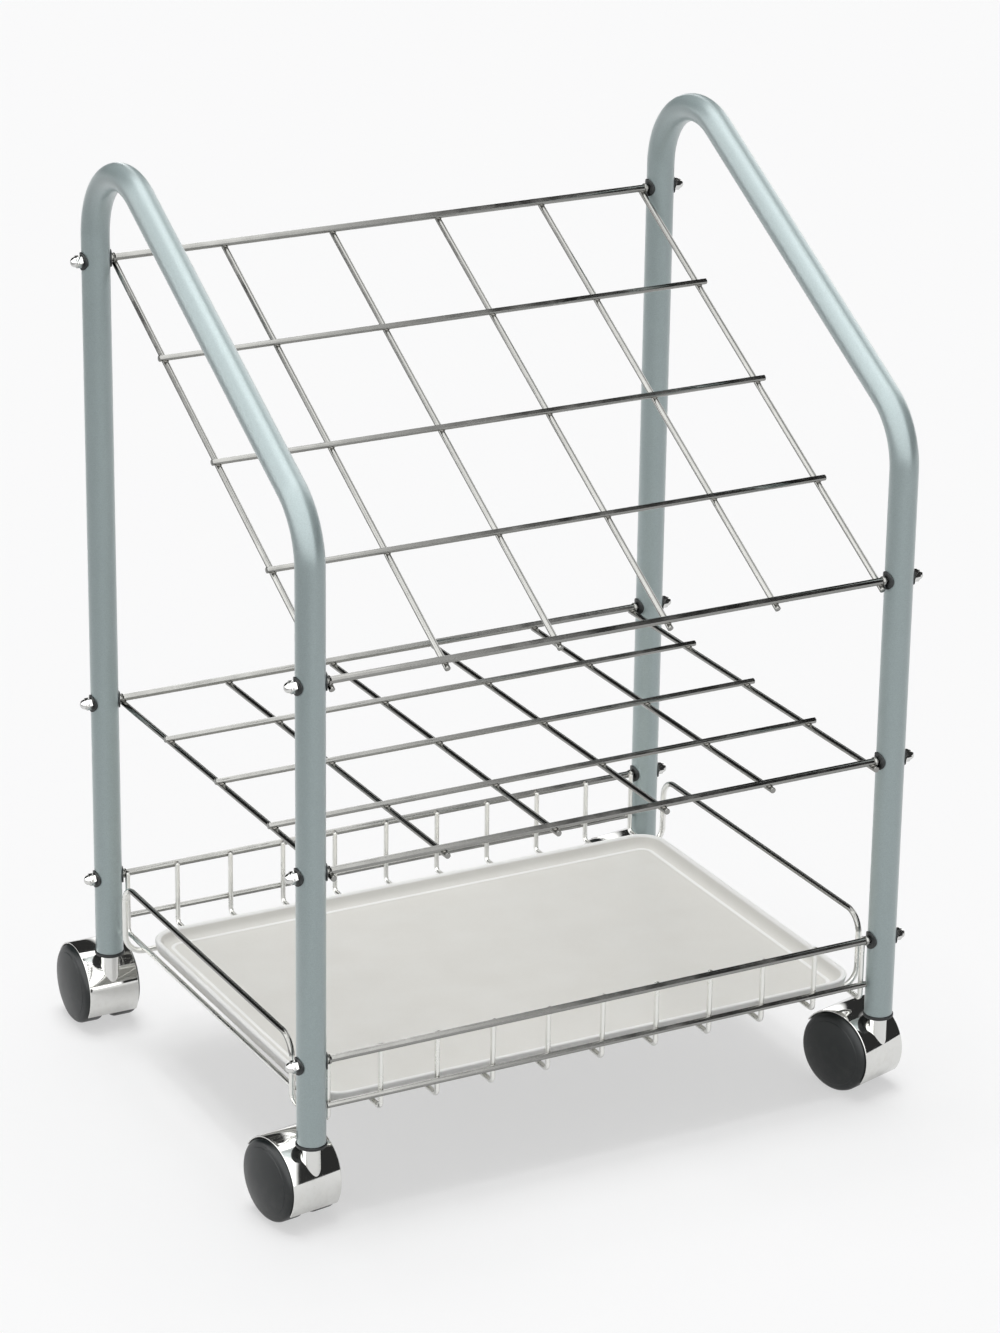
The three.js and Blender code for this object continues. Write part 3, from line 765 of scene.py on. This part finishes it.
# %% Side frames
POST_X = 210.0
POST_Y = 159.0
POST_FOOT = 59.0
TUBE_RADIUS = 9.43
TUBE_WALL = 1.2
TUBE_SIDES = 56
TUBE_BEND = 50.0
TUBE_BEND_STEP = 3.0
SLOPE = math.radians(29.7)
SLOPE_MIDDLE = 560.0
SLOPE_RISE = POST_Y * math.tan(SLOPE)
SIDES = {"left": -1, "right": 1}
ENDS = {"front": -1, "back": 1}


def side_frame(side):
    x = SIDES[side] * POST_X
    corners = [
        at(x, POST_Y, POST_FOOT),
        at(x, POST_Y, SLOPE_MIDDLE + SLOPE_RISE),
        at(x, -POST_Y, SLOPE_MIDDLE - SLOPE_RISE),
        at(x, -POST_Y, POST_FOOT),
    ]
    bm = bmesh.new()
    bent_bar(bm, corners, TUBE_RADIUS * MM, TUBE_SIDES, TUBE_BEND * MM, TUBE_BEND_STEP)
    outward(bm)
    bmesh.ops.solidify(bm, geom=bm.faces[:], thickness=TUBE_WALL * MM)
    return finish_piece(bm, f"{side}_tube", "frame", [f"{side}_side_frame"], [PAINT])


for side in SIDES:
    tube = side_frame(side)
    print(tube.name, len(tube.data.polygons), "faces", [round(d / MM, 1) for d in tube.dimensions])

# %% [markdown]
# Where two wires cross they are pressed together by a spot welder, sink into each other and push out a small
# collar of metal. A flattened sphere at each crossing is that collar, with its weld attribute set, so the
# chrome knows. The rods that tie the frames together are thicker wires with a swelled stop just inside each
# washer.

# %% Wires and welds
ROD_RADIUS = 2.4
ROD_REACH = 222.9
STOP_REACH = 196.9
STOP_PROFILE = [(0, 0), (3.0, 0), (3.2, 0.4), (3.2, 1.5), (0, 1.5)]
STOP_STEPS = 28
WIRE_RADIUS = 2.0
FLOOR_WIRE_RADIUS = 1.7
WIRE_SIDES = 20
WIRE_CHAMFER = 0.3
WELD_SINK = 0.7


def wire_mesh():
    """A new bmesh with the two attributes that the chrome reads."""
    bm = bmesh.new()
    for label in ("weld", "painted_sheen"):
        bm.verts.layers.float.new(label)
    return bm


def mark(bm, verts, label):
    layer = bm.verts.layers.float[label]
    for vert in verts:
        vert[layer] = 1.0


def wire(bm, corners, radius, bend=0.0, step=6.0):
    """A wire with sheared and tumbled ends through these corners. Returns the vertices it is made of."""
    before = set(bm.verts)
    rims = bent_bar(bm, corners, radius * MM, WIRE_SIDES, bend * MM, step)
    for rim in rims:
        bmesh.ops.edgeloop_fill(bm, edges=rim)
    rounded(bm, [edge for rim in rims for edge in rim], WIRE_CHAMFER)
    return [vert for vert in bm.verts if vert not in before]


def weld(bm, centre, through, reach, height):
    """A collar of pressed metal round a crossing, flat along the direction through both wires."""
    size = Matrix.Diagonal((reach * MM, reach * MM, height * MM, 1.0))
    place = standing(centre, through) @ size
    made = bmesh.ops.create_icosphere(bm, subdivisions=2, radius=1.0, matrix=place)
    mark(bm, made["verts"], "weld")


def tie_rod(bm, y, z):
    for side in SIDES.values():
        turned(bm, STOP_PROFILE, at(side * STOP_REACH, y, z), Vector((side, 0, 0)), STOP_STEPS)
    wire(bm, [at(-ROD_REACH, y, z), at(ROD_REACH, y, z)], ROD_RADIUS)


print("wire helpers ready")

# %% [markdown]
# Both grids are made the same way. Two rods tie the frames together at the front and the back, three cross
# wires lie almost level with them, and six long wires run underneath from front to back. The upper grid
# leans with the slope, so a point of the grid is given by its place across, its place along, and how far
# it is sunk below the rods' plane.

# %% Grids
ROWS = 5
COLUMNS = 6
COLUMN_REACH = 196.5
CROSS_REACH = 201.5
FRONT_TAIL = 5.0
BACK_TAIL = 3.0
COLUMN_DROP = ROD_RADIUS + WIRE_RADIUS - WELD_SINK
CROSS_DROP = COLUMN_DROP - 2 * WIRE_RADIUS + WELD_SINK
WELD_DROP = ROD_RADIUS - WELD_SINK / 2
GRID_WELD = (2.45, 1.15)
UPPER_DROP = 101.692
UPPER_MIDDLE = SLOPE_MIDDLE - UPPER_DROP
MIDDLE_LEVEL = 242.0


def steps_between(reach, count):
    """Places at equal steps from minus a reach to plus that reach."""
    return [-reach + 2 * reach * step / (count - 1) for step in range(count)]


def grid(name, middle, lean):
    def on_plane(x, y, drop):
        return at(x, y + drop * math.sin(lean), middle + y * math.tan(lean) - drop * math.cos(lean))

    bm = wire_mesh()
    for y in (-POST_Y, POST_Y):
        tie_rod(bm, y, middle + y * math.tan(lean))
    rows = steps_between(POST_Y, ROWS)
    for y in rows[1:-1]:
        wire(bm, [on_plane(x, y, CROSS_DROP) for x in (-CROSS_REACH, CROSS_REACH)], WIRE_RADIUS)
    front = -POST_Y - FRONT_TAIL * math.cos(lean)
    back = POST_Y + BACK_TAIL * math.cos(lean)
    through = Vector((0, -math.sin(lean), math.cos(lean)))
    for x in steps_between(COLUMN_REACH, COLUMNS):
        wire(bm, [on_plane(x, y, COLUMN_DROP) for y in (front, back)], WIRE_RADIUS)
        for y in rows:
            weld(bm, on_plane(x, y, WELD_DROP), through, *GRID_WELD)
    return finish_piece(bm, f"{name}_wires", "frame", [name], [WIRE_CHROME])


for name, middle, lean in (("upper_grid", UPPER_MIDDLE, SLOPE), ("middle_grid", MIDDLE_LEVEL, 0.0)):
    grid_piece = grid(name, middle, lean)
    print(grid_piece.name, len(grid_piece.data.polygons), "faces")

# %% [markdown]
# The basket hangs on its two rim rods. Eleven floor wires are bent like wide staples and welded to the rims,
# a lower wire runs along the uprights at the front and the back, and at each side a bent rail goes down and
# turns in under the floor wires, which are welded to its feet. Only the middle floor wire passes between the
# feet of the two rails.

# %% Basket sizes
RIM_LEVEL = 113.5
FLOOR_LEVEL = 70.0
LOWER_LEVEL = 81.5
LOWER_REACH = 199.2
RIM_SINK = 1.4 * WELD_SINK
UPRIGHT_Y = POST_Y - ROD_RADIUS - FLOOR_WIRE_RADIUS + RIM_SINK
UPRIGHT_TOP = RIM_LEVEL + 0.6 * ROD_RADIUS
LOWER_Y = UPRIGHT_Y + FLOOR_WIRE_RADIUS + WIRE_RADIUS - WELD_SINK
FLOOR_WIRE_PAIRS = 5
FLOOR_WIRE_STEP = 40.0
FLOOR_WIRE_REACH = 197.0
FLOOR_WIRE_BEND = 3.6
FLOOR_WIRE_BEND_STEP = 9.0
RAIL_Y = 131.0
RAIL_TOP = 118.3
RAIL_FOOT = FLOOR_LEVEL - FLOOR_WIRE_RADIUS - WIRE_RADIUS + WELD_SINK
RAIL_FOOT_END = 4.0
RAIL_BEND = 14.0
# The heights and the back part of each rail that carry the painted sheen.
SHEEN_LOW = RAIL_FOOT + 2.0
SHEEN_HIGH = RAIL_TOP - RAIL_BEND + 3.0
SHEEN_BACK = RAIL_Y - RAIL_BEND + 4.0
RIM_WELD = (2.2, 1.0)
LOW_WELD = (2.1, 1.0)
RIM_WELD_Y = UPRIGHT_Y + FLOOR_WIRE_RADIUS - 0.4
LOW_WELD_Y = UPRIGHT_Y + FLOOR_WIRE_RADIUS - 0.3
FOOT_WELD_LEVEL = FLOOR_LEVEL - FLOOR_WIRE_RADIUS + 0.3
print("rail feet at", round(RAIL_FOOT, 2), "mm, uprights at", round(UPRIGHT_Y, 2), "mm")


# %% Basket
def basket_end(bm, end):
    """Rim rod and lower wire of the front or the back."""
    tie_rod(bm, end * POST_Y, RIM_LEVEL)
    wire(bm, [at(x, end * LOWER_Y, LOWER_LEVEL) for x in (-LOWER_REACH, LOWER_REACH)], WIRE_RADIUS)


def basket_rail(bm, side):
    x = side * POST_X
    foot_end = side * RAIL_FOOT_END
    places = [
        (foot_end, -RAIL_Y, RAIL_FOOT),
        (x, -RAIL_Y, RAIL_FOOT),
        (x, -RAIL_Y, RAIL_TOP),
        (x, RAIL_Y, RAIL_TOP),
        (x, RAIL_Y, RAIL_FOOT),
        (foot_end, RAIL_Y, RAIL_FOOT),
    ]
    verts = wire(bm, [at(*place) for place in places], WIRE_RADIUS, RAIL_BEND)
    # The rail's legs and its back carry the painted sheen.
    mark(bm, [vert for vert in verts if SHEEN_LOW * MM < vert.co.z < SHEEN_HIGH * MM], "painted_sheen")
    mark(bm, [vert for vert in verts if vert.co.y > at(0, SHEEN_BACK, 0).y], "painted_sheen")


def floor_wire(bm, x):
    places = [
        (-UPRIGHT_Y, UPRIGHT_TOP),
        (-UPRIGHT_Y, FLOOR_LEVEL),
        (UPRIGHT_Y, FLOOR_LEVEL),
        (UPRIGHT_Y, UPRIGHT_TOP),
    ]
    corners = [at(x, y, z) for y, z in places]
    verts = wire(bm, corners, FLOOR_WIRE_RADIUS, FLOOR_WIRE_BEND, FLOOR_WIRE_BEND_STEP)
    # The whole floor wire carries the painted sheen.
    mark(bm, verts, "painted_sheen")
    for end in ENDS.values():
        if abs(x) > RAIL_FOOT_END:
            weld(bm, at(x, end * RAIL_Y, FOOT_WELD_LEVEL), UP, *LOW_WELD)
        weld(bm, at(x, end * RIM_WELD_Y, RIM_LEVEL), Vector((0, 1, 0)), *RIM_WELD)
        weld(bm, at(x, end * LOW_WELD_Y, LOWER_LEVEL), Vector((0, 1, 0)), *LOW_WELD)


bm = wire_mesh()
for end in ENDS.values():
    basket_end(bm, end)
for side in SIDES.values():
    basket_rail(bm, side)
for step in range(-FLOOR_WIRE_PAIRS, FLOOR_WIRE_PAIRS + 1):
    floor_wire(bm, max(-FLOOR_WIRE_REACH, min(FLOOR_WIRE_REACH, FLOOR_WIRE_STEP * step)))
basket = finish_piece(bm, "basket_wires", "frame", ["basket"], [WIRE_CHROME])
print(basket.name, len(basket.data.polygons), "faces")

# %% [markdown]
# The tray is moulded plastic. Seen from above it is a rectangle with round corners, and its section is the
# same all the way round: a flat floor, a low bead, a hollow fillet, a rolled rim and a wall that is almost
# upright outside. So the section is a list of rings, each so far in from the outer edge and so high, and the
# bridge operator skins ring to ring. The rings of the rim and the bead are marked, and the plastic is painted
# near white there: a painted highlight along the rim and the bead.

# %% Tray
TRAY_LOW = 72.35
TRAY_LEFT = -196.5
TRAY_RIGHT = 200.0
TRAY_FRONT = -148.0
TRAY_BACK = 128.0
TRAY_CORNER = 20.0
CORNER_STEPS = 10
TRAY_SECTION = [
    (15.0, 2.0),
    (13.7, 2.05),
    (13.0, 2.4),
    (12.2, 2.55),
    (11.4, 2.4),
    (10.4, 2.3),
    (8.8, 2.7),
    (7.3, 3.5),
    (6.0, 4.7),
    (5.0, 6.1),
    (4.2, 7.5),
    (3.5, 8.4),
    (2.6, 8.95),
    (1.5, 9.1),
    (0.6, 8.9),
    (0.15, 8.4),
    (0.0, 7.7),
    (1.5, 1.2),
    (2.0, 0.35),
    (2.9, 0.0),
]
BEAD_RINGS = range(2, 5)
RIM_RINGS = range(11, 17)


def tray_ring(bm, inset, height, painted_highlight):
    """A closed loop of edges, so far in from the tray's outer edge."""
    radius = TRAY_CORNER - inset
    middle_x = (TRAY_LEFT + TRAY_RIGHT) / 2
    middle_y = (TRAY_BACK + TRAY_FRONT) / 2
    run_x = (TRAY_RIGHT - TRAY_LEFT) / 2 - TRAY_CORNER
    run_y = (TRAY_BACK - TRAY_FRONT) / 2 - TRAY_CORNER
    verts = []
    for quarter, (x, y) in enumerate(((1, 1), (-1, 1), (-1, -1), (1, -1))):
        for step in range(CORNER_STEPS + 1):
            angle = math.pi / 2 * (quarter + step / CORNER_STEPS)
            out_x = middle_x + x * run_x + radius * math.cos(angle)
            out_y = middle_y + y * run_y + radius * math.sin(angle)
            verts.append(bm.verts.new(at(out_x, out_y, TRAY_LOW + height)))
    # The rim's and the bead's rings carry the painted highlight.
    if painted_highlight:
        mark(bm, verts, "painted_highlight")
    return [bm.edges.new(pair) for pair in zip(verts, verts[1:] + verts[:1])]


bm = bmesh.new()
bm.verts.layers.float.new("painted_highlight")
rings = []
for number, (inset, height) in enumerate(TRAY_SECTION):
    rings.append(tray_ring(bm, inset, height, number in BEAD_RINGS or number in RIM_RINGS))
for ring, next_ring in zip(rings, rings[1:]):
    bmesh.ops.bridge_loops(bm, edges=ring + next_ring)
bmesh.ops.edgeloop_fill(bm, edges=rings[0])
bmesh.ops.edgeloop_fill(bm, edges=rings[-1])
outward(bm)
tray = finish_piece(bm, "tray_shell", "tray", ["tray"], [TRAY_PLASTIC])
print(tray.name, len(tray.data.polygons), "faces", [round(d / MM, 1) for d in tray.dimensions])

# %% [markdown]
# Each rod end carries a capped nut on a dark flange outside the post and a dark washer inside. Both are
# curved to the tube: a flat ring is laid on the post's side, its points are dropped on to the tube, and
# solidify gives it its thickness. The hexagon is a six sided ring with its corners taken off, and the cap is
# a turned dome.

# %% Nuts and washers
NUT_FLATS = 7.4
NUT_FOOT = 10.3
NUT_TOP = 14.1
NUT_CHAMFER = 0.7
DOME_PROFILE = [
    (0, 13.7),
    (3.4, 13.7),
    (3.4, 14.5),
    (3.25, 15.4),
    (2.75, 16.4),
    (1.9, 17.15),
    (1.0, 17.5),
    (0, 17.6),
]
FLANGE_HOLE = 2.5
FLANGE_RADIUS = 5.9
WASHER_HOLE = 2.6
WASHER_RADIUS = 6.0
SADDLE_FOOT = 9.55
SADDLE_SHEET = 0.9
SADDLE_RINGS = 5
SADDLE_EDGE = 0.3
LEVELS = {
    "upper": {"front": UPPER_MIDDLE - SLOPE_RISE, "back": UPPER_MIDDLE + SLOPE_RISE},
    "middle": {"front": MIDDLE_LEVEL, "back": MIDDLE_LEVEL},
    "basket": {"front": RIM_LEVEL, "back": RIM_LEVEL},
}


def on_post(end, side, height):
    """A place on the middle line of a post."""
    return at(SIDES[side] * POST_X, ENDS[end] * POST_Y, height)


def pulled(bm, faces, move):
    """Extrude faces by a move. Returns the vertices that moved."""
    verts = only(bmesh.ops.extrude_face_region(bm, geom=faces)["geom"], bmesh.types.BMVert)
    bmesh.ops.translate(bm, vec=move, verts=verts)
    return verts


def thickened(bm, face, towards, thickness):
    """Turn an open sheet so that this face of it looks towards a direction, and make it a solid sheet."""
    bmesh.ops.recalc_face_normals(bm, faces=bm.faces)
    if face.normal.dot(towards) < 0:
        bmesh.ops.reverse_faces(bm, faces=bm.faces)
    bmesh.ops.solidify(bm, geom=bm.faces[:], thickness=thickness * MM)


def hexagon(bm, foot, along):
    """The six flats of a nut, with the top corners chamfered."""
    place = standing(foot + along * NUT_FOOT * MM, along)
    wide = NUT_FLATS / math.sqrt(3) * MM
    made = bmesh.ops.create_circle(bm, cap_ends=True, radius=wide, segments=6, matrix=place)
    base = made["verts"][0].link_faces[0]
    top = pulled(bm, [base], along * (NUT_TOP - NUT_FOOT) * MM)
    rounded(bm, top, NUT_CHAMFER, affect="VERTICES")


def saddle(bm, foot, along, hole, reach):
    """A ring about a rod, curved to the post whose axis passes through foot."""
    ring_step = (reach - hole) / SADDLE_RINGS
    turned(bm, [(hole + ring_step * ring, 0.0) for ring in range(SADDLE_RINGS + 1)], foot, along)
    for vert in bm.verts:
        aside = (vert.co.y - foot.y) / MM
        vert.co += along * math.sqrt(SADDLE_FOOT**2 - aside**2) * MM
    thickened(bm, bm.faces[:][0], -along, SADDLE_SHEET)
    outward(bm)
    soften(bm, SADDLE_EDGE, segments=3, angle=50.0)


def cap_nut(level, end, side):
    foot = on_post(end, side, LEVELS[level][end])
    along = Vector((SIDES[side], 0, 0))
    bm = bmesh.new()
    saddle(bm, foot, along, FLANGE_HOLE, FLANGE_RADIUS)
    dark = set(bm.faces)
    hexagon(bm, foot, along)
    turned(bm, DOME_PROFILE, foot, along)
    for face in bm.faces:
        face.material_index = 1 if face in dark else 0
    name = f"{level}_{end}_{side}"
    finishes = [NUT_CHROME, WASHER_STEEL]
    return finish_piece(bm, f"nut_{name}", "frame", [f"cap_nut_{name}"], finishes)


def washer(level, end, side):
    foot = on_post(end, side, LEVELS[level][end])
    bm = bmesh.new()
    saddle(bm, foot, Vector((-SIDES[side], 0, 0)), WASHER_HOLE, WASHER_RADIUS)
    name = f"{level}_{end}_{side}"
    return finish_piece(bm, f"ring_{name}", "frame", [f"washer_{name}"], [WASHER_STEEL])


made_nuts = []
for level in LEVELS:
    for end in ENDS:
        for side in SIDES:
            made_nuts.append(cap_nut(level, end, side))
            made_nuts.append(washer(level, end, side))
print("nuts and washers", len(made_nuts), "pieces,", len(made_nuts[0].data.polygons), "faces in a nut")

# %% [markdown]
# A caster is built standing at the origin with its stem on the Z axis and its axle behind it, and is then
# turned and moved under its post. The hood is a bent chrome sheet round both wheels, the boss on it takes
# the stem, and a web between the wheels carries the axle.

# %% Caster sizes
TRAIL = 21.5
AXLE_HEIGHT = 27.5
HOOD_RADIUS = 29.1
HOOD_SHEET = 1.0
HOOD_EDGE = 0.35
HOOD_HALF = 18.0
HOOD_FRONT = -34.0
HOOD_SWEEP = 181.0
HOOD_STEPS = 60
WEB_HALF = 5.1
WEB_INNER = 6.0
WEB_OUTER = HOOD_RADIUS - 0.5
WEB_STEPS = 40
HUB_RADIUS = 7.0
HUB_PROFILE = [(0, -WEB_HALF), (HUB_RADIUS, -WEB_HALF), (HUB_RADIUS, WEB_HALF), (0, WEB_HALF)]
BOSS_FOOT = 33.0
BOSS_TOP = 56.15
BOSS_RADIUS = 6.1
BOSS_CHAMFER = 0.7
BOSS_PROFILE = [
    (0, BOSS_FOOT),
    (BOSS_RADIUS, BOSS_FOOT),
    (BOSS_RADIUS, BOSS_TOP - BOSS_CHAMFER),
    (BOSS_RADIUS - BOSS_CHAMFER, BOSS_TOP),
    (0, BOSS_TOP),
]
ROUND_STEPS = 48
CASTER_TURNS = {"front_left": 8.5, "front_right": 16.8, "back_left": 0.0, "back_right": 10.0}
ORIGIN = Vector((0, 0, 0))
AXLE = Vector((0, TRAIL, AXLE_HEIGHT)) * MM
ACROSS = Vector((1, 0, 0))


def hood_point(x, radius, degrees):
    angle = math.radians(degrees)
    return AXLE + Vector((x, -radius * math.cos(angle), radius * math.sin(angle))) * MM


def swing(bm, edge, steps):
    """Spin an edge about the axle, from the hood's front upwards and over to its back."""
    spun(bm, [edge, *vertices_of([edge])], AXLE, -ACROSS, math.radians(HOOD_SWEEP), steps)


def place_caster(bm, corner):
    post = Matrix.Translation(on_post(*corner.split("_"), 0))
    bmesh.ops.transform(bm, matrix=post @ rotation(CASTER_TURNS[corner], "Z"), verts=bm.verts)


print("caster sizes set")


# %% Caster hood
def hood_sheet(bm):
    """The bent sheet: a line across the caster, swung over the wheels and thickened inwards."""
    ends = [bm.verts.new(hood_point(x, HOOD_RADIUS, HOOD_FRONT)) for x in (-HOOD_HALF, HOOD_HALF)]
    swing(bm, bm.edges.new(ends), HOOD_STEPS)
    middle = bm.faces[:][len(bm.faces) // 2]
    thickened(bm, middle, middle.calc_center_median() - AXLE, HOOD_SHEET)
    soften(bm, HOOD_EDGE, segments=3, angle=40.0)


def hood_web(bm):
    """The plate between the wheels, from the hub to the sheet, and the hub round the axle."""
    before = set(bm.faces)
    ends = [bm.verts.new(hood_point(-WEB_HALF, radius, HOOD_FRONT)) for radius in (WEB_INNER, WEB_OUTER)]
    swing(bm, bm.edges.new(ends), WEB_STEPS)
    plate = [face for face in bm.faces if face not in before]
    pulled(bm, plate, ACROSS * 2 * WEB_HALF * MM)
    turned(bm, HUB_PROFILE, AXLE, ACROSS)


def caster_hood(corner):
    bm = bmesh.new()
    hood_sheet(bm)
    hood_web(bm)
    turned(bm, BOSS_PROFILE, ORIGIN, UP, ROUND_STEPS)
    place_caster(bm, corner)
    node = f"caster_hood_{corner}"
    return finish_piece(bm, f"hood_{corner}", f"caster_{corner}", [node], [HOOD_CHROME])


for corner in CASTER_TURNS:
    hood = caster_hood(corner)
print("hood", len(hood.data.polygons), "faces")

# %% [markdown]
# The wheels are twin discs. Each has a flat tread, a rounded shoulder, a fine groove where the domed cover
# sits in the tyre, and a hub inside. One profile, spun, is a whole wheel.

# %% Caster wheels
WHEEL_PROFILE = [
    (0.0, 24.3),
    (6.0, 24.15),
    (11.0, 23.7),
    (15.5, 23.0),
    (19.0, 22.25),
    (22.0, 21.45),
    (22.5, 21.3),
    (22.7, 21.1),
    (22.9, 21.15),
    (24.3, 20.65),
    (25.5, 20.2),
    (26.4, 19.5),
    (27.1, 18.6),
    (27.5, 17.3),
    (27.5, 7.0),
    (27.2, 6.2),
    (26.4, 5.85),
    (23.4, 5.85),
    (22.6, 8.2),
    (9.2, 8.2),
    (8.6, 5.85),
    (3.65, 5.85),
    (3.65, 16.6),
    (0.0, 16.6),
]
WHEEL_STEPS = 72
WHEEL_SMOOTH = 30.0


def caster_wheel(corner, place):
    side = SIDES[corner.split("_")[1]] * (1 if place == "outer" else -1)
    bm = bmesh.new()
    turned(bm, WHEEL_PROFILE, AXLE, ACROSS * side, WHEEL_STEPS)
    place_caster(bm, corner)
    name = f"{place}_wheel_{corner}"
    node = f"wheel_{place}_{corner}"
    return finish_piece(bm, name, node, [node], [WHEEL_PLASTIC], WHEEL_SMOOTH)


for corner in CASTER_TURNS:
    for place in ("outer", "inner"):
        wheel = caster_wheel(corner, place)
print("wheel", len(wheel.data.polygons), "faces")

# %% [markdown]
# What is left are the pieces that hold a caster: the black socket pressed into the tube, whose flange shows
# as a dark ring under the post, the stem that turns in it, and the axle pin. All three are turned.

# %% Sockets, stems and pins
SOCKET_PROFILE = [
    (4.6, 56.6),
    (10.15, 56.6),
    (10.15, 58.65),
    (7.6, 58.65),
    (7.6, 95.9),
    (4.6, 95.9),
    (4.6, 56.6),
]
SOCKET_EDGE = 0.4
STEM_PROFILE = [(0, 36.6), (4.0, 36.6), (4.0, 95.0), (0, 95.0)]
STEM_EDGE = 0.5
PIN_PROFILE = [(0, -16.0), (3.0, -16.0), (3.0, 16.0), (0, 16.0)]
PIN_EDGE = 0.4


def caster_socket(corner):
    bm = bmesh.new()
    turned(bm, SOCKET_PROFILE, on_post(*corner.split("_"), 0), UP, ROUND_STEPS)
    soften(bm, SOCKET_EDGE, segments=3)
    node = f"caster_socket_{corner}"
    return finish_piece(bm, f"socket_{corner}", "frame", [node], [SOCKET_PLASTIC])


def steel_bar(name, node, corner, profile, foot, along, edge):
    bm = bmesh.new()
    turned(bm, profile, foot, along)
    soften(bm, edge)
    place_caster(bm, corner)
    return finish_piece(bm, name, f"caster_{corner}", [node], [STEM_STEEL])


for corner in CASTER_TURNS:
    caster_socket(corner)
    steel_bar(f"stem_{corner}", f"caster_stem_{corner}", corner, STEM_PROFILE, ORIGIN, UP, STEM_EDGE)
    steel_bar(f"pin_{corner}", f"caster_axle_{corner}", corner, PIN_PROFILE, AXLE, ACROSS, PIN_EDGE)
print("sockets, stems and pins for", len(CASTER_TURNS), "casters")

# %% [markdown]
# Last, the two boxes: the solids' and the dressed cart's. The second has to lie inside the first, because
# the dressing never makes the cart bigger.

# %% Sizes and table
visual_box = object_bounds()
rooms = (visual_box[0] - cad_box[0], cad_box[1] - visual_box[1])
print("room left", [[round(c / MM, 2) for c in room] for room in rooms])
